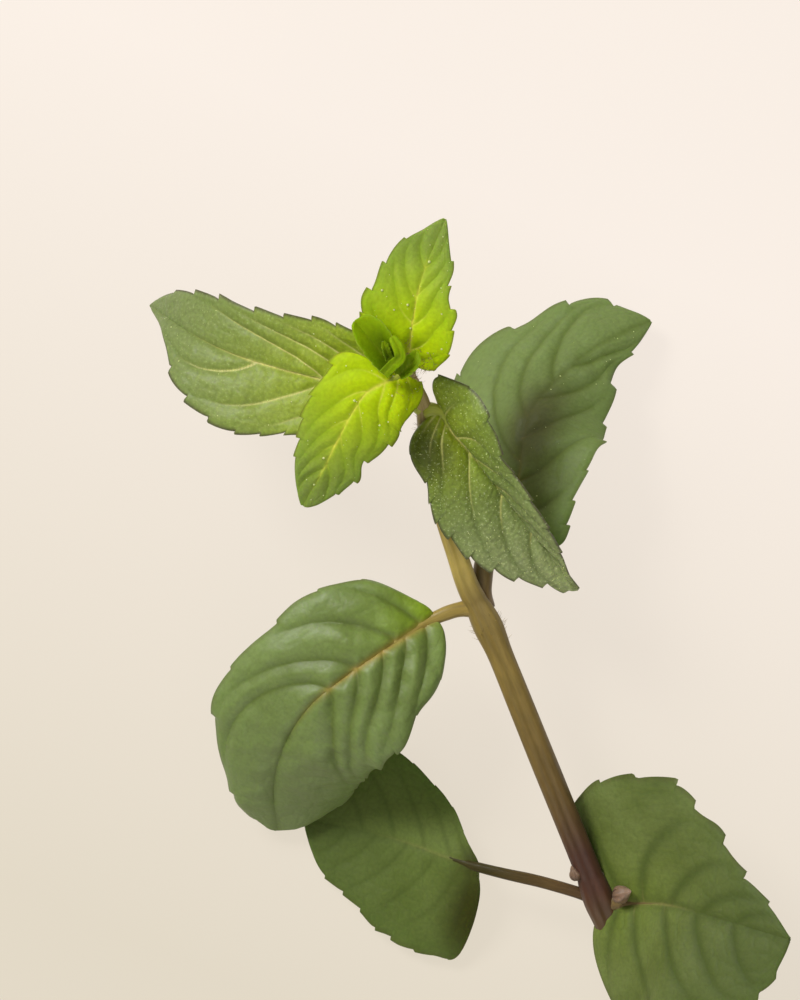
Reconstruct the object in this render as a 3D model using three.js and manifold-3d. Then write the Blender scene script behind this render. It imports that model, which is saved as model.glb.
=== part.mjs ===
// Mint sprig: one cut shoot of peppermint lying on a flat surface.
// Millimetres, +Z up. The cut end is at low Y, the growing tip points along +Y and is raised.
// The sprig rests on its cut end, the lower left leaf and the lower edge of the middle right leaf.
import * as THREE from "three";
import { mergeVertices } from "three/addons/utils/BufferGeometryUtils.js";
import Module from "manifold-3d";

const wasm = await Module();
wasm.setup();

const bladeThickness = 0.45; // leaf blade, through both faces
const budLeafThickness = 0.35; // the young leaves packed round the growing point
const stemRadius = 1.42; // half the side-to-side size of the square stem at the cut end
const stemTipRadius = 0.75; // the same, just under the growing point
const nodeSwelling = 0.3; // how much the stem thickens where a pair of leaves joins it
const swellingLength = 2.2; // how far that thickening reaches along the stem
const joinGap = 0.15; // left between the stem and everything that grows out of it
const petioleSides = 8; // facets round a leaf stalk
const stemSides = 16; // facets round the stem
const stemRings = 44; // rings along the stem
const rowsPerTooth = 3; // rows of a blade for each tooth on its edge
const toothRise = [0, 0.5, 1]; // how far the saw tooth has risen at each of those rows
const toothPeak = 0.8; // where along a tooth its point is
const columnsPerSide = 3; // columns of a blade on each side of its midrib
const baseHalfWidth = 0.5; // a blade's half-width where it meets its stalk
const tipHalfWidth = 0.12; // and at its tip
const closeReach = 0.015; // share of a curve over which its own direction is judged
const bladeReach = 0.1; // the same for the blade beside it, so that its halves never crumple in a bend
const edgeRate = 1.25; // how the rows of a blade close up towards its base, along the edge
const ribRate = 1.5; // the same along the midrib, so that rows slant forward
const sweep = 1.35; // how a row bows between the two
const lobeShare = 0.3; // share of the edge that a lobe takes up
const toothFrom = 0.18; // share of the edge where the teeth begin
const toothGrowth = 0.12; // share over which they grow to full depth
const toothEnd = 0.06; // share before the tip over which they fade

const green = { dark: 0x4d5a2a, mid: 0x5d7338, grey: 0x6f8246, young: 0x97a827, bud: 0x6c8021 };

// The stem's centre line from the clean cut up through the four nodes D, C, B and A.
const stemLine = [
  [21.1, -44.1, 1.35],
  [13.9, -24.7, 6],
  [7.9, -9.9, 10],
  [2.8, 2.6, 12.5],
  [1.4, 5.6, 12.9],
  [0.2, 7.9, 13.3],
  [-1, 11.3, 14.2],
  [-2.8, 16.9, 16.5],
  [-4.4, 26.1, 20],
  [-5.8, 28.9, 23.8],
  [-6.3, 29.8, 25.3],
];

// Where along the stem, as a share of its length, each pair of leaves joins it.
const nodesOnStem = [0.255, 0.63, 0.89];

// Each leaf: the midrib's curve from base to tip, the stalk's curve from the stem to the base,
// and pairs of values for the left and right half as seen from the base looking to the tip.
// half: widest half-width; round: how blunt the base is; taper: how drawn-out the tip is;
// slope: how far the half tilts up from the midrib, base to tip, degrees;
// curl: how much more it tilts by its edge; lobe: how far it reaches back past the base;
// trim: base to tip, how much wider or narrower the half is than that outline.
const leaves = {
  leaf_d_left: {
    colour: green.dark,
    midrib: [
      [1.3, -21.4, 5.2],
      [-2, -20.4, 4.2],
      [-6.5, -18.9, 2.5],
      [-12.1, -17.6, 1],
      [-16.8, -16.8, 0.25],
    ],
    stalk: [[13.7, -24.6, 6], [11.6, -23.9, 6.1], [7.7, -22.8, 5.9], [4, -22, 5.6]],
    stalkRadius: 0.62,
    half: [11.3, 9],
    round: [0.33, 0.8],
    taper: [0.7, 0.7],
    slope: [[-22, -4, 0], [-20, -4, 0]],
    curl: [[0, 0], [0, 0]],
    lobe: [2, 0],
    trim: [[0.3, 1, 0.9, 0.85, 0.9, 0.9], [0.45, 0.7, 0.8, 1, 1, 1]],
    teeth: 9,
  },
  leaf_d_right: {
    colour: green.dark,
    midrib: [[15.8, -25, 7], [20.4, -24.7, 10.6], [25.3, -25.6, 15], [32.3, -27.2, 21]],
    stalk: [[13.9, -24.7, 6], [14.8, -24.9, 6.5]],
    stalkRadius: 0.84,
    half: [12, 13.5],
    round: [0.35, 0.4],
    taper: [1.25, 0.75],
    slope: [[8, 0], [25, 5]],
    curl: [[0, 0], [-30, -10]],
    lobe: [6, 4.6],
    trim: [[1, 1.1, 0.95, 0.85, 0.9, 1.4], [0.1, 1, 1, 1, 1.15, 1.5]],
    teeth: 10,
  },
  leaf_c_left: {
    colour: green.mid,
    midrib: [
      [-3.3, 4.9, 13.6],
      [-7.3, 2.4, 15.2],
      [-11.7, -0.6, 15.4],
      [-15.8, -3.9, 14.2],
      [-18.5, -7.9, 11.5],
      [-19.9, -12.7, 7],
      [-19.7, -17.6, 2],
    ],
    stalk: [[1, 5.9, 12.8], [-1.2, 5.6, 13.3]],
    stalkRadius: 0.75,
    half: [10.8, 9],
    round: [0.5, 0.5],
    taper: [0.45, 0.7],
    slope: [[0, 0], [5, 0]],
    curl: [[-15, -15], [-15, -25]],
    lobe: [0.5, 0.5],
    trim: [[0.8, 0.85, 0.9, 0.85, 0.95, 1.15], [0.5, 1.05, 0.95, 1.05, 0.85, 0.95]],
    teeth: 11,
  },
  leaf_c_right: {
    colour: green.mid,
    midrib: [
      [3.8, 13.3, 11.2],
      [5.5, 19.5, 9.8],
      [5.9, 23.6, 9],
      [7, 26.6, 8.2],
      [10, 29.8, 6.6],
      [14.1, 33, 5],
      [19.4, 35.5, 2.6],
    ],
    stalk: [[1.4, 5.9, 12.4], [1.6, 8.5, 12], [2, 10.8, 11.7]],
    stalkRadius: 1.05,
    half: [12, 8.8],
    round: [0.36, 0.3],
    taper: [0.8, 0.8],
    slope: [[-45, -42, -30], [25, 10]],
    curl: [[0, 0], [0, 0]],
    lobe: [0, 1.5],
    trim: [[0.9, 0.85, 0.9, 1.05, 1.1, 1.2], [1.1, 0.75, 1, 0.95, 0.6, 0.6]],
    teeth: 10,
  },
  leaf_b_left: {
    colour: green.grey,
    midrib: [
      [-6.3, 27.1, 20.6],
      [-10.3, 28, 21.3],
      [-16.4, 29.4, 21],
      [-22.9, 31.3, 20],
      [-27, 33.2, 18],
      [-30.5, 35.5, 14],
      [-32.3, 36.8, 10.5],
    ],
    stalk: [[-4.4, 26.1, 20], [-5.4, 26.6, 20.3]],
    stalkRadius: 0.65,
    half: [7.3, 5.5],
    round: [0.5, 0.5],
    taper: [1, 0.75],
    slope: [[10, 10], [15, 5]],
    curl: [[0, 0], [20, 25]],
    lobe: [0, 0],
    trim: [[1, 0.85, 0.95, 1.1, 0.65, 0.55], [1.3, 1.2, 1.05, 1, 1.05, 1.15]],
    teeth: 9,
  },
  leaf_b_right: {
    colour: green.grey,
    midrib: [
      [-2.8, 25.9, 20.5],
      [-1.6, 23.7, 20.3],
      [0.2, 21.7, 19.7],
      [3.8, 17.2, 18.5],
      [7.5, 12.6, 17],
      [11.3, 7.9, 15],
    ],
    stalk: [[-4.3, 25.7, 19.9], [-3.6, 25.9, 20.3]],
    stalkRadius: 0.65,
    half: [7.4, 6.9],
    round: [0.42, 0.5],
    taper: [1, 0.7],
    slope: [[36, 62, 74, 76], [25, 5]],
    curl: [[-10, -5], [-55, -30]],
    lobe: [5, 0.3],
    trim: [[0.05, 0.7, 0.6, 0.75, 0.6, 1], [1.3, 0.9, 1.05, 1.05, 0.95, 0.8]],
    teeth: 9,
  },
  leaf_a_upper: {
    colour: green.young,
    midrib: [[-6, 30.6, 24.4], [-5.7, 33.3, 26.6], [-4.8, 38.3, 28], [-2.4, 44.6, 26.5]],
    stalk: [[-5.9, 28.4, 23], [-5.8, 29.6, 23.7]],
    stalkRadius: 0.5,
    half: [5, 3.9],
    round: [0.5, 0.5],
    taper: [0.8, 0.8],
    slope: [[-5, 5], [10, 0]],
    curl: [[10, 0], [0, 0]],
    lobe: [0.2, 1.5],
    trim: [[1.1, 1.1, 1.05, 0.9, 0.85, 0.8], [1.25, 1.15, 1.05, 0.8, 0.75, 0.6]],
    teeth: 7,
  },
  leaf_a_lower: {
    colour: green.young,
    midrib: [
      [-6.4, 29.4, 25.4],
      [-8.3, 28.5, 26.3],
      [-10.2, 27.4, 26.2],
      [-12.8, 23.2, 24.4],
      [-14.6, 19.7, 22],
      [-16.5, 16.5, 18.6],
    ],
    stalk: [[-5.9, 28.4, 23.4], [-6.1, 29, 24.6]],
    stalkRadius: 0.5,
    half: [5.4, 4.7],
    round: [0.3, 0.6],
    taper: [0.75, 0.9],
    slope: [[0, 0], [0, 0]],
    curl: [[-20, -20], [-10, -10]],
    lobe: [2.6, 0.3],
    trim: [[0.35, 0.85, 0.95, 0.75, 0.85, 1.2], [0.4, 1.1, 0.95, 0.9, 0.95, 1.1]],
    teeth: 7,
  },
};

// The young leaves packed round the growing point, folded up along their midribs.
const budLeaves = {
  bud_leaf_left: {
    midrib: [[-7.3, 29.7, 26], [-8.6, 31.3, 26.9], [-10.1, 33.1, 27.6], [-11.3, 34.5, 28]],
    half: [1.5, 2.6],
    round: [0.3, 0.3],
    taper: [0.45, 0.25],
    slope: [[45, 30], [38, 18]],
    trim: [[1, 1, 1], [0.3, 1, 1]],
  },
  bud_leaf_back: {
    midrib: [[-7.9, 30.9, 27.4], [-8.2, 31.7, 28.1], [-8.5, 32.5, 28.4]],
    half: [0.4, 0.4],
    slope: [[30, 20], [30, 20]],
  },
  bud_leaf_middle: {
    midrib: [[-8.4, 29.3, 27.6], [-7.6, 30.1, 28.5], [-6.8, 30.9, 29.2], [-7, 31.8, 29.5], [-7.6, 32.9, 29.4]],
    half: [0.55, 0.55],
    round: [0.3, 0.3],
    taper: [0.3, 0.3],
    slope: [[12, 12], [12, 12]],
  },
  bud_leaf_right: {
    midrib: [[-6.9, 29.2, 27.1], [-6.2, 29.9, 27.6], [-5.5, 30.7, 27.8], [-5.2, 31.6, 27.8]],
    half: [0.95, 0.95],
    slope: [[25, 15], [25, 15]],
  },
};

// Buds in the angles between the lowest stalks and the stem: base, and the way each one points.
const axillaryBuds = {
  axillary_bud_d_left: { at: [11.5, -22.4, 7.5], towards: [-0.35, 0.85, 0.4], size: 0.8 },
  axillary_bud_d_right: { at: [15.5, -24, 8.4], towards: [0.6, 0.25, 0.75], size: 1.3 },
};

function curveThrough(points) {
  return new THREE.CatmullRomCurve3(points.map((p) => new THREE.Vector3(...p)), false, "centripetal");
}

// A value given as a list from base to tip, read at the share u of the way.
function along(list, u) {
  const place = THREE.MathUtils.clamp(u, 0, 1) * (list.length - 1);
  const i = Math.min(Math.floor(place), list.length - 2);
  return THREE.MathUtils.lerp(list[i], list[i + 1], place - i);
}

// Direction, right side and upper side of a curve, judged over a share of it on either side of u;
// the right side is kept level.
function frameAt(curve, u, reach) {
  const middle = THREE.MathUtils.clamp(u, reach, 1 - reach);
  const forward = curve.getPointAt(middle + reach).sub(curve.getPointAt(middle - reach)).normalize();
  const right = new THREE.Vector3().crossVectors(forward, new THREE.Vector3(0, 0, 1)).normalize();
  const up = new THREE.Vector3().crossVectors(right, forward);
  return { forward, right, up };
}

// A point of the curve, carried on straight past its ends.
function pointPast(curve, length, u) {
  const inside = THREE.MathUtils.clamp(u, 0, 1);
  return curve.getPointAt(inside).addScaledVector(frameAt(curve, u, closeReach).forward, (u - inside) * length);
}

// Half-width of a blade's outline at the share u, 1 where it is widest.
function outline(u, round, taper) {
  const widest = round / (round + taper);
  const top = widest ** round * (1 - widest) ** taper;
  return (u ** round * (1 - u) ** taper) / top;
}

// The point of a blade at row s (0 base, 1 tip), column t (-1 left edge, 1 right edge) and
// offset h from the middle of its thickness. Rows run along the side veins: they leave the
// midrib near its base and sweep forward to the edge.
function bladePoint(leaf, curve, length, s, t, h, rise) {
  const side = t < 0 ? 0 : 1;
  const sign = t < 0 ? -1 : 1;
  const out = Math.abs(t);
  const edge = s ** edgeRate;
  const rib = s ** ribRate;
  const ends = THREE.MathUtils.lerp(baseHalfWidth, tipHalfWidth, edge);
  const grown = THREE.MathUtils.clamp((s - toothFrom) / toothGrowth, 0, 1);
  const teethFade = grown * THREE.MathUtils.clamp((1 - s) / toothEnd, 0, 1);
  const tooth = leaf.toothDepth * (rise - 0.4) * teethFade * out ** 6;
  const back = leaf.lobe[side] * Math.sin(Math.PI * Math.min(edge / lobeShare, 1) ** 0.6);
  const widest = leaf.half[side] - ends;
  const reach = (widest * outline(edge, leaf.round[side], leaf.taper[side]) + ends) * along(leaf.trim[side], edge);
  const across = reach * out + tooth;
  const u = rib + (edge - back / length - rib) * out ** sweep + tooth / length;
  const slope = THREE.MathUtils.degToRad(along(leaf.slope[side], u));
  const curl = THREE.MathUtils.degToRad(along(leaf.curl[side], u)) * out;
  const bend = curl === 0 ? 1 : Math.sin(curl / 2) / (curl / 2);
  const chord = across * bend;
  const { right, up } = frameAt(curve, u, bladeReach);
  return pointPast(curve, length, u)
    .addScaledVector(right, sign * (chord * Math.cos(slope + curl / 2) - h * Math.sin(slope + curl)))
    .addScaledVector(up, chord * Math.sin(slope + curl / 2) + h * Math.cos(slope + curl));
}

// Moves every corner of a geometry by a function of its place, and welds what then coincides.
function reshape(geometry, move) {
  geometry.deleteAttribute("normal");
  geometry.deleteAttribute("uv");
  const corners = geometry.getAttribute("position");
  for (let i = 0; i < corners.count; i += 1) {
    const moved = move(corners.getX(i), corners.getY(i), corners.getZ(i));
    corners.setXYZ(i, moved.x, moved.y, moved.z);
  }
  return mergeVertices(geometry, 1e-4);
}

function blade(leaf, thickness) {
  const curve = curveThrough(leaf.midrib);
  const length = curve.getLength();
  const rows = leaf.teeth * rowsPerTooth;
  const slab = new THREE.BoxGeometry(2, rows, 1, 2 * columnsPerSide, rows, 1);
  return reshape(slab, (x, y, z) => {
    const row = Math.round(y + rows / 2);
    const step = row % rowsPerTooth;
    const s = (Math.floor(row / rowsPerTooth) + toothRise[step] * toothPeak) / leaf.teeth;
    return bladePoint(leaf, curve, length, s, x, z * thickness, toothRise[step]);
  });
}

// A round stalk from inside the stem to a little way under the blade's midrib.
function stalk(leaf) {
  const rib = curveThrough(leaf.midrib);
  const under = [0.04, 0.1].map((u) => rib.getPointAt(u).add(new THREE.Vector3(0, 0, -leaf.stalkRadius / 2)));
  const points = leaf.stalk.map((p) => new THREE.Vector3(...p));
  const path = new THREE.CatmullRomCurve3([...points, ...under], false, "centripetal");
  const section = new THREE.Shape().absarc(0, 0, leaf.stalkRadius, 0, 2 * Math.PI);
  const tube = new THREE.ExtrudeGeometry(section, {
    extrudePath: path,
    steps: 8,
    curveSegments: petioleSides / 2,
  });
  return reshape(tube, (x, y, z) => new THREE.Vector3(x, y, z));
}

// How much of the swelling is left at a distance from the middle of a node.
function nodeShape(distance) {
  return Math.exp(-((distance / swellingLength) ** 2));
}

// The square stem, with rounded ridges, thicker at its nodes; grow adds to its radius all round.
function stem(grow) {
  const curve = curveThrough(stemLine);
  const length = curve.getLength();
  const rod = new THREE.CylinderGeometry(1, 1, 1, stemSides, stemRings);
  return reshape(rod, (x, y, z) => {
    const u = y + 0.5;
    const turn = Math.atan2(z, x);
    const swelling = nodesOnStem.reduce((sum, node) => sum + nodeShape((u - node) * length), 0);
    const ridges = 1 - 0.08 * Math.cos(4 * turn);
    const dome = Math.min(1, 0.45 + (1 - u) * 25);
    const taper = THREE.MathUtils.lerp(stemRadius, stemTipRadius, THREE.MathUtils.smoothstep(u, 0.5, 1));
    const radius = (taper + nodeSwelling * swelling) * ridges * dome + grow;
    const { forward, right, up } = frameAt(curve, u, closeReach);
    return pointPast(curve, length, u)
      .addScaledVector(forward, u === 0 ? -grow : u === 1 ? grow : 0)
      .addScaledVector(right, radius * Math.hypot(x, z) * Math.cos(turn))
      .addScaledVector(up, radius * Math.hypot(x, z) * Math.sin(turn));
  });
}

function budLeaf(spec) {
  const leaf = {
    round: [0.6, 0.6],
    taper: [0.8, 0.8],
    curl: [[20, 10], [20, 10]],
    lobe: [0, 0],
    trim: [[1, 1], [1, 1]],
    teeth: 4,
    toothDepth: 0.12,
    ...spec,
  };
  return blade(leaf, budLeafThickness);
}

// A pointed bud, turned as a profile about its own axis and laid along its direction.
function axillaryBud(spec) {
  const profile = [[0, -0.6], [0.5, -0.5], [0.72, 0], [0.6, 0.7], [0.3, 1.3], [0, 1.65]];
  const body = new THREE.LatheGeometry(profile.map(([r, y]) => new THREE.Vector2(r * spec.size, y * spec.size)), 8);
  const aim = new THREE.Quaternion().setFromUnitVectors(
    new THREE.Vector3(0, 1, 0),
    new THREE.Vector3(...spec.towards).normalize(),
  );
  const at = new THREE.Vector3(...spec.at);
  return reshape(body, (x, y, z) => new THREE.Vector3(x, y, z).applyQuaternion(aim).add(at));
}

function solidFrom(geometry) {
  return new wasm.Manifold(
    new wasm.Mesh({
      numProp: 3,
      vertProperties: new Float32Array(geometry.getAttribute("position").array),
      triVerts: new Uint32Array(geometry.index.array),
    }),
  );
}

function geometryFrom(solid) {
  const { vertProperties, triVerts } = solid.getMesh();
  const geometry = new THREE.BufferGeometry();
  geometry.setAttribute("position", new THREE.BufferAttribute(new Float32Array(vertProperties), 3));
  geometry.setIndex(new THREE.BufferAttribute(new Uint32Array(triVerts), 1));
  return geometry;
}

function named(name, geometry, colour, roughness) {
  const shaded = geometry.toNonIndexed();
  shaded.computeVertexNormals();
  const mesh = new THREE.Mesh(shaded, new THREE.MeshStandardMaterial({ color: colour, roughness, metalness: 0 }));
  mesh.name = name;
  return mesh;
}

const sprig = new THREE.Group();
sprig.add(named("main_stem", stem(0), 0x7c6a3c, 0.6));

const room = solidFrom(stem(joinGap));
for (const [name, spec] of Object.entries(leaves)) {
  const leaf = { toothDepth: 0.55, ...spec };
  const whole = solidFrom(blade(leaf, bladeThickness)).add(solidFrom(stalk(leaf)));
  sprig.add(named(name, geometryFrom(whole.subtract(room)), leaf.colour, 0.55));
}
for (const [name, spec] of Object.entries(budLeaves)) {
  sprig.add(named(name, geometryFrom(solidFrom(budLeaf(spec)).subtract(room)), green.bud, 0.5));
}
for (const [name, spec] of Object.entries(axillaryBuds)) {
  sprig.add(named(name, geometryFrom(solidFrom(axillaryBud(spec)).subtract(room)), 0xa08a6a, 0.5));
}

export default sprig;
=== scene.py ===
import math

import bpy
import numpy as np
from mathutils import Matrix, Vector


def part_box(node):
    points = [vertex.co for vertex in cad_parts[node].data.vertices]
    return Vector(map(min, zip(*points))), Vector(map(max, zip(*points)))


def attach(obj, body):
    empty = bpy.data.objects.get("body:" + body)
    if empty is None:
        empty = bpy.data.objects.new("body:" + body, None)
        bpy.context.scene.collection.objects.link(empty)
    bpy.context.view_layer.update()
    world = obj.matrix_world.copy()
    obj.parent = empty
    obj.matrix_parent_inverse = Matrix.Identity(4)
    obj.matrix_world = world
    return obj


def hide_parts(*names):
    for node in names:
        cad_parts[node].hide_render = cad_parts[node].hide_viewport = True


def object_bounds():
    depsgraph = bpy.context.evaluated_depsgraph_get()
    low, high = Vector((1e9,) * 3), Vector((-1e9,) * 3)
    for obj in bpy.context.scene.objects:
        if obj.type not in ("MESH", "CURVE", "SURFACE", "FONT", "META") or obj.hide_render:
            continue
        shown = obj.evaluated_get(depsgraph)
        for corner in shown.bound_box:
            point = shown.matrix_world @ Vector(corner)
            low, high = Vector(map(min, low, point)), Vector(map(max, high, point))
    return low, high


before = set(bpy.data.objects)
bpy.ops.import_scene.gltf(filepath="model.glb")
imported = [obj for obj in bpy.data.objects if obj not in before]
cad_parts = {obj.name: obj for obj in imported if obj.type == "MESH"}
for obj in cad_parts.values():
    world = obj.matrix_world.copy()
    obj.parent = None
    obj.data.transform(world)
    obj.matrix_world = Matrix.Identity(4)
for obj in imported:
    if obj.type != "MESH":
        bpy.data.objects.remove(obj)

cadBox = [list(corner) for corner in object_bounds()]
scene = bpy.context.scene
mm = 0.001  # sizes below are in millimetres, Blender works in metres


# Small helpers for choosing, making and finishing pieces

def deselectAll():
    bpy.ops.object.select_all(action="DESELECT")
    bpy.context.view_layer.objects.active = None


def choose(piece):
    deselectAll()
    piece.select_set(True)
    bpy.context.view_layer.objects.active = piece


def cornersOf(piece):
    flat = np.empty(len(piece.data.vertices) * 3)
    piece.data.vertices.foreach_get("co", flat)
    return flat.reshape(-1, 3)


def moveCorners(piece, places):
    piece.data.vertices.foreach_set("co", np.asarray(places, float).ravel())
    piece.data.update()


def writeAttribute(piece, name, values):
    layer = piece.data.attributes.new(name, "FLOAT", "POINT")
    layer.data.foreach_set("value", np.asarray(values, float))


def joinInto(piece, others):
    deselectAll()
    for other in others:
        other.select_set(True)
    piece.select_set(True)
    bpy.context.view_layer.objects.active = piece
    bpy.ops.object.join()
    return piece


def finishPiece(piece, node):
    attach(piece, "root")
    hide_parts(node)


def smoothstep(low, high, value):
    x = np.clip((value - low) / (high - low), 0, 1)
    return x * x * (3 - 2 * x)


# Noise on a flat sheet, the same on every run

def lattice(ix, iy, seed):
    mixed = np.sin(ix * 127.1 + iy * 311.7 + seed * 74.7) * 43758.5453
    return mixed - np.floor(mixed)


def softNoise(x, y, seed):
    ix = np.floor(x)
    iy = np.floor(y)
    fx = smoothstep(0, 1, x - ix)
    fy = smoothstep(0, 1, y - iy)
    low = lattice(ix, iy, seed) * (1 - fx) + lattice(ix + 1, iy, seed) * fx
    high = lattice(ix, iy + 1, seed) * (1 - fx) + lattice(ix + 1, iy + 1, seed) * fx
    return low * (1 - fy) + high * fy


# Distance to the nearest wall between cells of a random net, in cells
def cellWalls(x, y, seed):
    ix = np.floor(x)
    iy = np.floor(y)
    nearest = np.full(np.shape(x), 9.0)
    second = np.full(np.shape(x), 9.0)
    for dx in (-1, 0, 1):
        for dy in (-1, 0, 1):
            cx = ix + dx + 0.15 + 0.7 * lattice(ix + dx, iy + dy, seed)
            cy = iy + dy + 0.15 + 0.7 * lattice(ix + dx, iy + dy, seed + 5)
            away = np.hypot(x - cx, y - cy)
            second = np.minimum(second, np.maximum(nearest, away))
            nearest = np.minimum(nearest, away)
    return second - nearest


# A smooth curve through points, with its length measured along it

def smoothCurve(points, steps=160):
    knots = np.array(points, float)
    knots = np.vstack([2 * knots[0] - knots[1], knots, 2 * knots[-1] - knots[-2]])
    parts = []
    for i in range(len(knots) - 3):
        p0, p1, p2, p3 = knots[i:i + 4]
        t1 = np.linalg.norm(p1 - p0) ** 0.5
        t2 = t1 + np.linalg.norm(p2 - p1) ** 0.5
        t3 = t2 + np.linalg.norm(p3 - p2) ** 0.5
        t = np.linspace(t1, t2, steps)[:, None]
        a1 = (t1 - t) / t1 * p0 + t / t1 * p1
        a2 = (t2 - t) / (t2 - t1) * p1 + (t - t1) / (t2 - t1) * p2
        a3 = (t3 - t) / (t3 - t2) * p2 + (t - t2) / (t3 - t2) * p3
        b1 = (t2 - t) / t2 * a1 + t / t2 * a2
        b2 = (t3 - t) / (t3 - t1) * a2 + (t - t1) / (t3 - t1) * a3
        parts.append((t2 - t) / (t2 - t1) * b1 + (t - t1) / (t2 - t1) * b2)
    line = np.vstack([part[:-1] for part in parts] + [parts[-1][-1:]])
    lengths = np.r_[0, np.cumsum(np.linalg.norm(np.diff(line, axis=0), axis=1))]
    return {"line": line, "lengths": lengths, "total": lengths[-1]}


def pointsAt(curve, along):
    return np.stack([np.interp(along, curve["lengths"], curve["line"][:, i]) for i in range(3)], -1)


# Forward, right and up along a curve, judged over a short reach of it; right stays level
def framesAt(curve, along, reachShare=0.015):
    reach = curve["total"] * reachShare
    middle = np.clip(along, reach, curve["total"] - reach)
    forward = pointsAt(curve, middle + reach) - pointsAt(curve, middle - reach)
    forward /= np.linalg.norm(forward, axis=-1, keepdims=True)
    right = np.cross(forward, [0.0, 0.0, 1.0])
    right /= np.linalg.norm(right, axis=-1, keepdims=True)
    return forward, right, np.cross(right, forward)


# As pointsAt, carried on straight past both ends
def pointsPast(curve, along):
    inside = np.clip(along, 0, curve["total"])
    forward = framesAt(curve, along)[0]
    return pointsAt(curve, inside) + (along - inside)[..., None] * forward


# Values given from base to tip, read smoothly at a share of the way
def readAlong(values, share):
    knots = np.array(values, float)
    if len(knots) < 2:
        return np.full(np.shape(share), knots[0])
    knots = np.r_[2 * knots[0] - knots[1], knots, 2 * knots[-1] - knots[-2]]
    place = np.clip(share, 0, 1) * (len(values) - 1)
    i = np.minimum(place.astype(int), len(values) - 2)
    f = place - i
    a, b, c, d = knots[i], knots[i + 1], knots[i + 2], knots[i + 3]
    return b + 0.5 * f * (c - a + f * (2 * a - 5 * b + 4 * c - d + f * (3 * (b - c) + d - a)))


# A closed tube: a grid bent round a curve, its seam welded and its ends drawn to a point.
# shape gives, for a share of the way and a turn, the place along and the radius.
def addTube(name, curve, rings, sides, shape):
    deselectAll()
    bpy.ops.mesh.primitive_grid_add(x_subdivisions=sides, y_subdivisions=rings, size=2)
    piece = bpy.context.object
    piece.name = piece.data.name = name
    grid = cornersOf(piece)
    share = (grid[:, 1] + 1) / 2
    turn = grid[:, 0] * math.pi
    turn[grid[:, 0] > 0.9999] = -math.pi
    along, radius = shape(share, turn)
    forward, right, up = framesAt(curve, along)
    places = pointsPast(curve, along)
    places += right * (radius * np.cos(turn))[:, None]
    places += up * (radius * np.sin(turn))[:, None]
    moveCorners(piece, places * mm)
    writeAttribute(piece, "along", along)
    writeAttribute(piece, "turn", turn)
    choose(piece)
    bpy.ops.object.mode_set(mode="EDIT")
    bpy.ops.mesh.select_all(action="SELECT")
    bpy.ops.mesh.remove_doubles(threshold=1e-7)
    bpy.ops.mesh.normals_make_consistent(inside=False)
    bpy.ops.object.mode_set(mode="OBJECT")
    bpy.ops.object.shade_smooth()
    return piece


# Many small copies of one shape as one piece, each standing on a place and pointing along a direction
def scatter(name, template, places, directions, sizes):
    model = cornersOf(template)
    faces = [list(face.vertices) for face in template.data.polygons]
    directions = directions / np.linalg.norm(directions, axis=1, keepdims=True)
    helper = np.where(np.abs(directions[:, 2:3]) < 0.9, [[0.0, 0.0, 1.0]], [[1.0, 0.0, 0.0]])
    first = np.cross(helper, directions)
    first /= np.linalg.norm(first, axis=1, keepdims=True)
    second = np.cross(directions, first)
    scaled = model[None] * sizes[:, None, :]
    corners = places[:, None] + scaled[..., 0:1] * first[:, None] + scaled[..., 1:2] * second[:, None]
    corners = corners + scaled[..., 2:3] * directions[:, None]
    allFaces = [[k * len(model) + i for i in face] for k in range(len(places)) for face in faces]
    mesh = bpy.data.meshes.new(name)
    mesh.from_pydata(corners.reshape(-1, 3).tolist(), [], allFaces)
    piece = bpy.data.objects.new(name, mesh)
    scene.collection.objects.link(piece)
    choose(piece)
    bpy.ops.object.shade_smooth()
    return piece


# Materials

def toLinear(hexColour):
    channels = [int(hexColour[i:i + 2], 16) / 255 for i in (1, 3, 5)]
    return [c / 12.92 if c <= 0.04045 else ((c + 0.055) / 1.055) ** 2.4 for c in channels] + [1.0]


def addNode(tree, kind, settings=None, links=None):
    node = tree.nodes.new(kind)
    for name, value in (settings or {}).items():
        if isinstance(name, str) and hasattr(node, name):
            setattr(node, name, value)
        else:
            node.inputs[name].default_value = value
    for name, source in (links or {}).items():
        tree.links.new(source, node.inputs[name])
    return node


def startMaterial(name):
    material = bpy.data.materials.new(name)
    material.use_nodes = True
    material.node_tree.nodes.clear()
    return material, material.node_tree


def perSize(sizeInMm):
    return 1000 / sizeInMm  # texture scale for a pattern of that size, coordinates being metres


mixFactor, mixLow, mixHigh, mixResult = 0, 6, 7, 2  # sockets of a Mix node set to colours
noiseReach = {"From Min": 0.3, "From Max": 0.7}  # between these a noise has nearly all of its values


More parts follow.
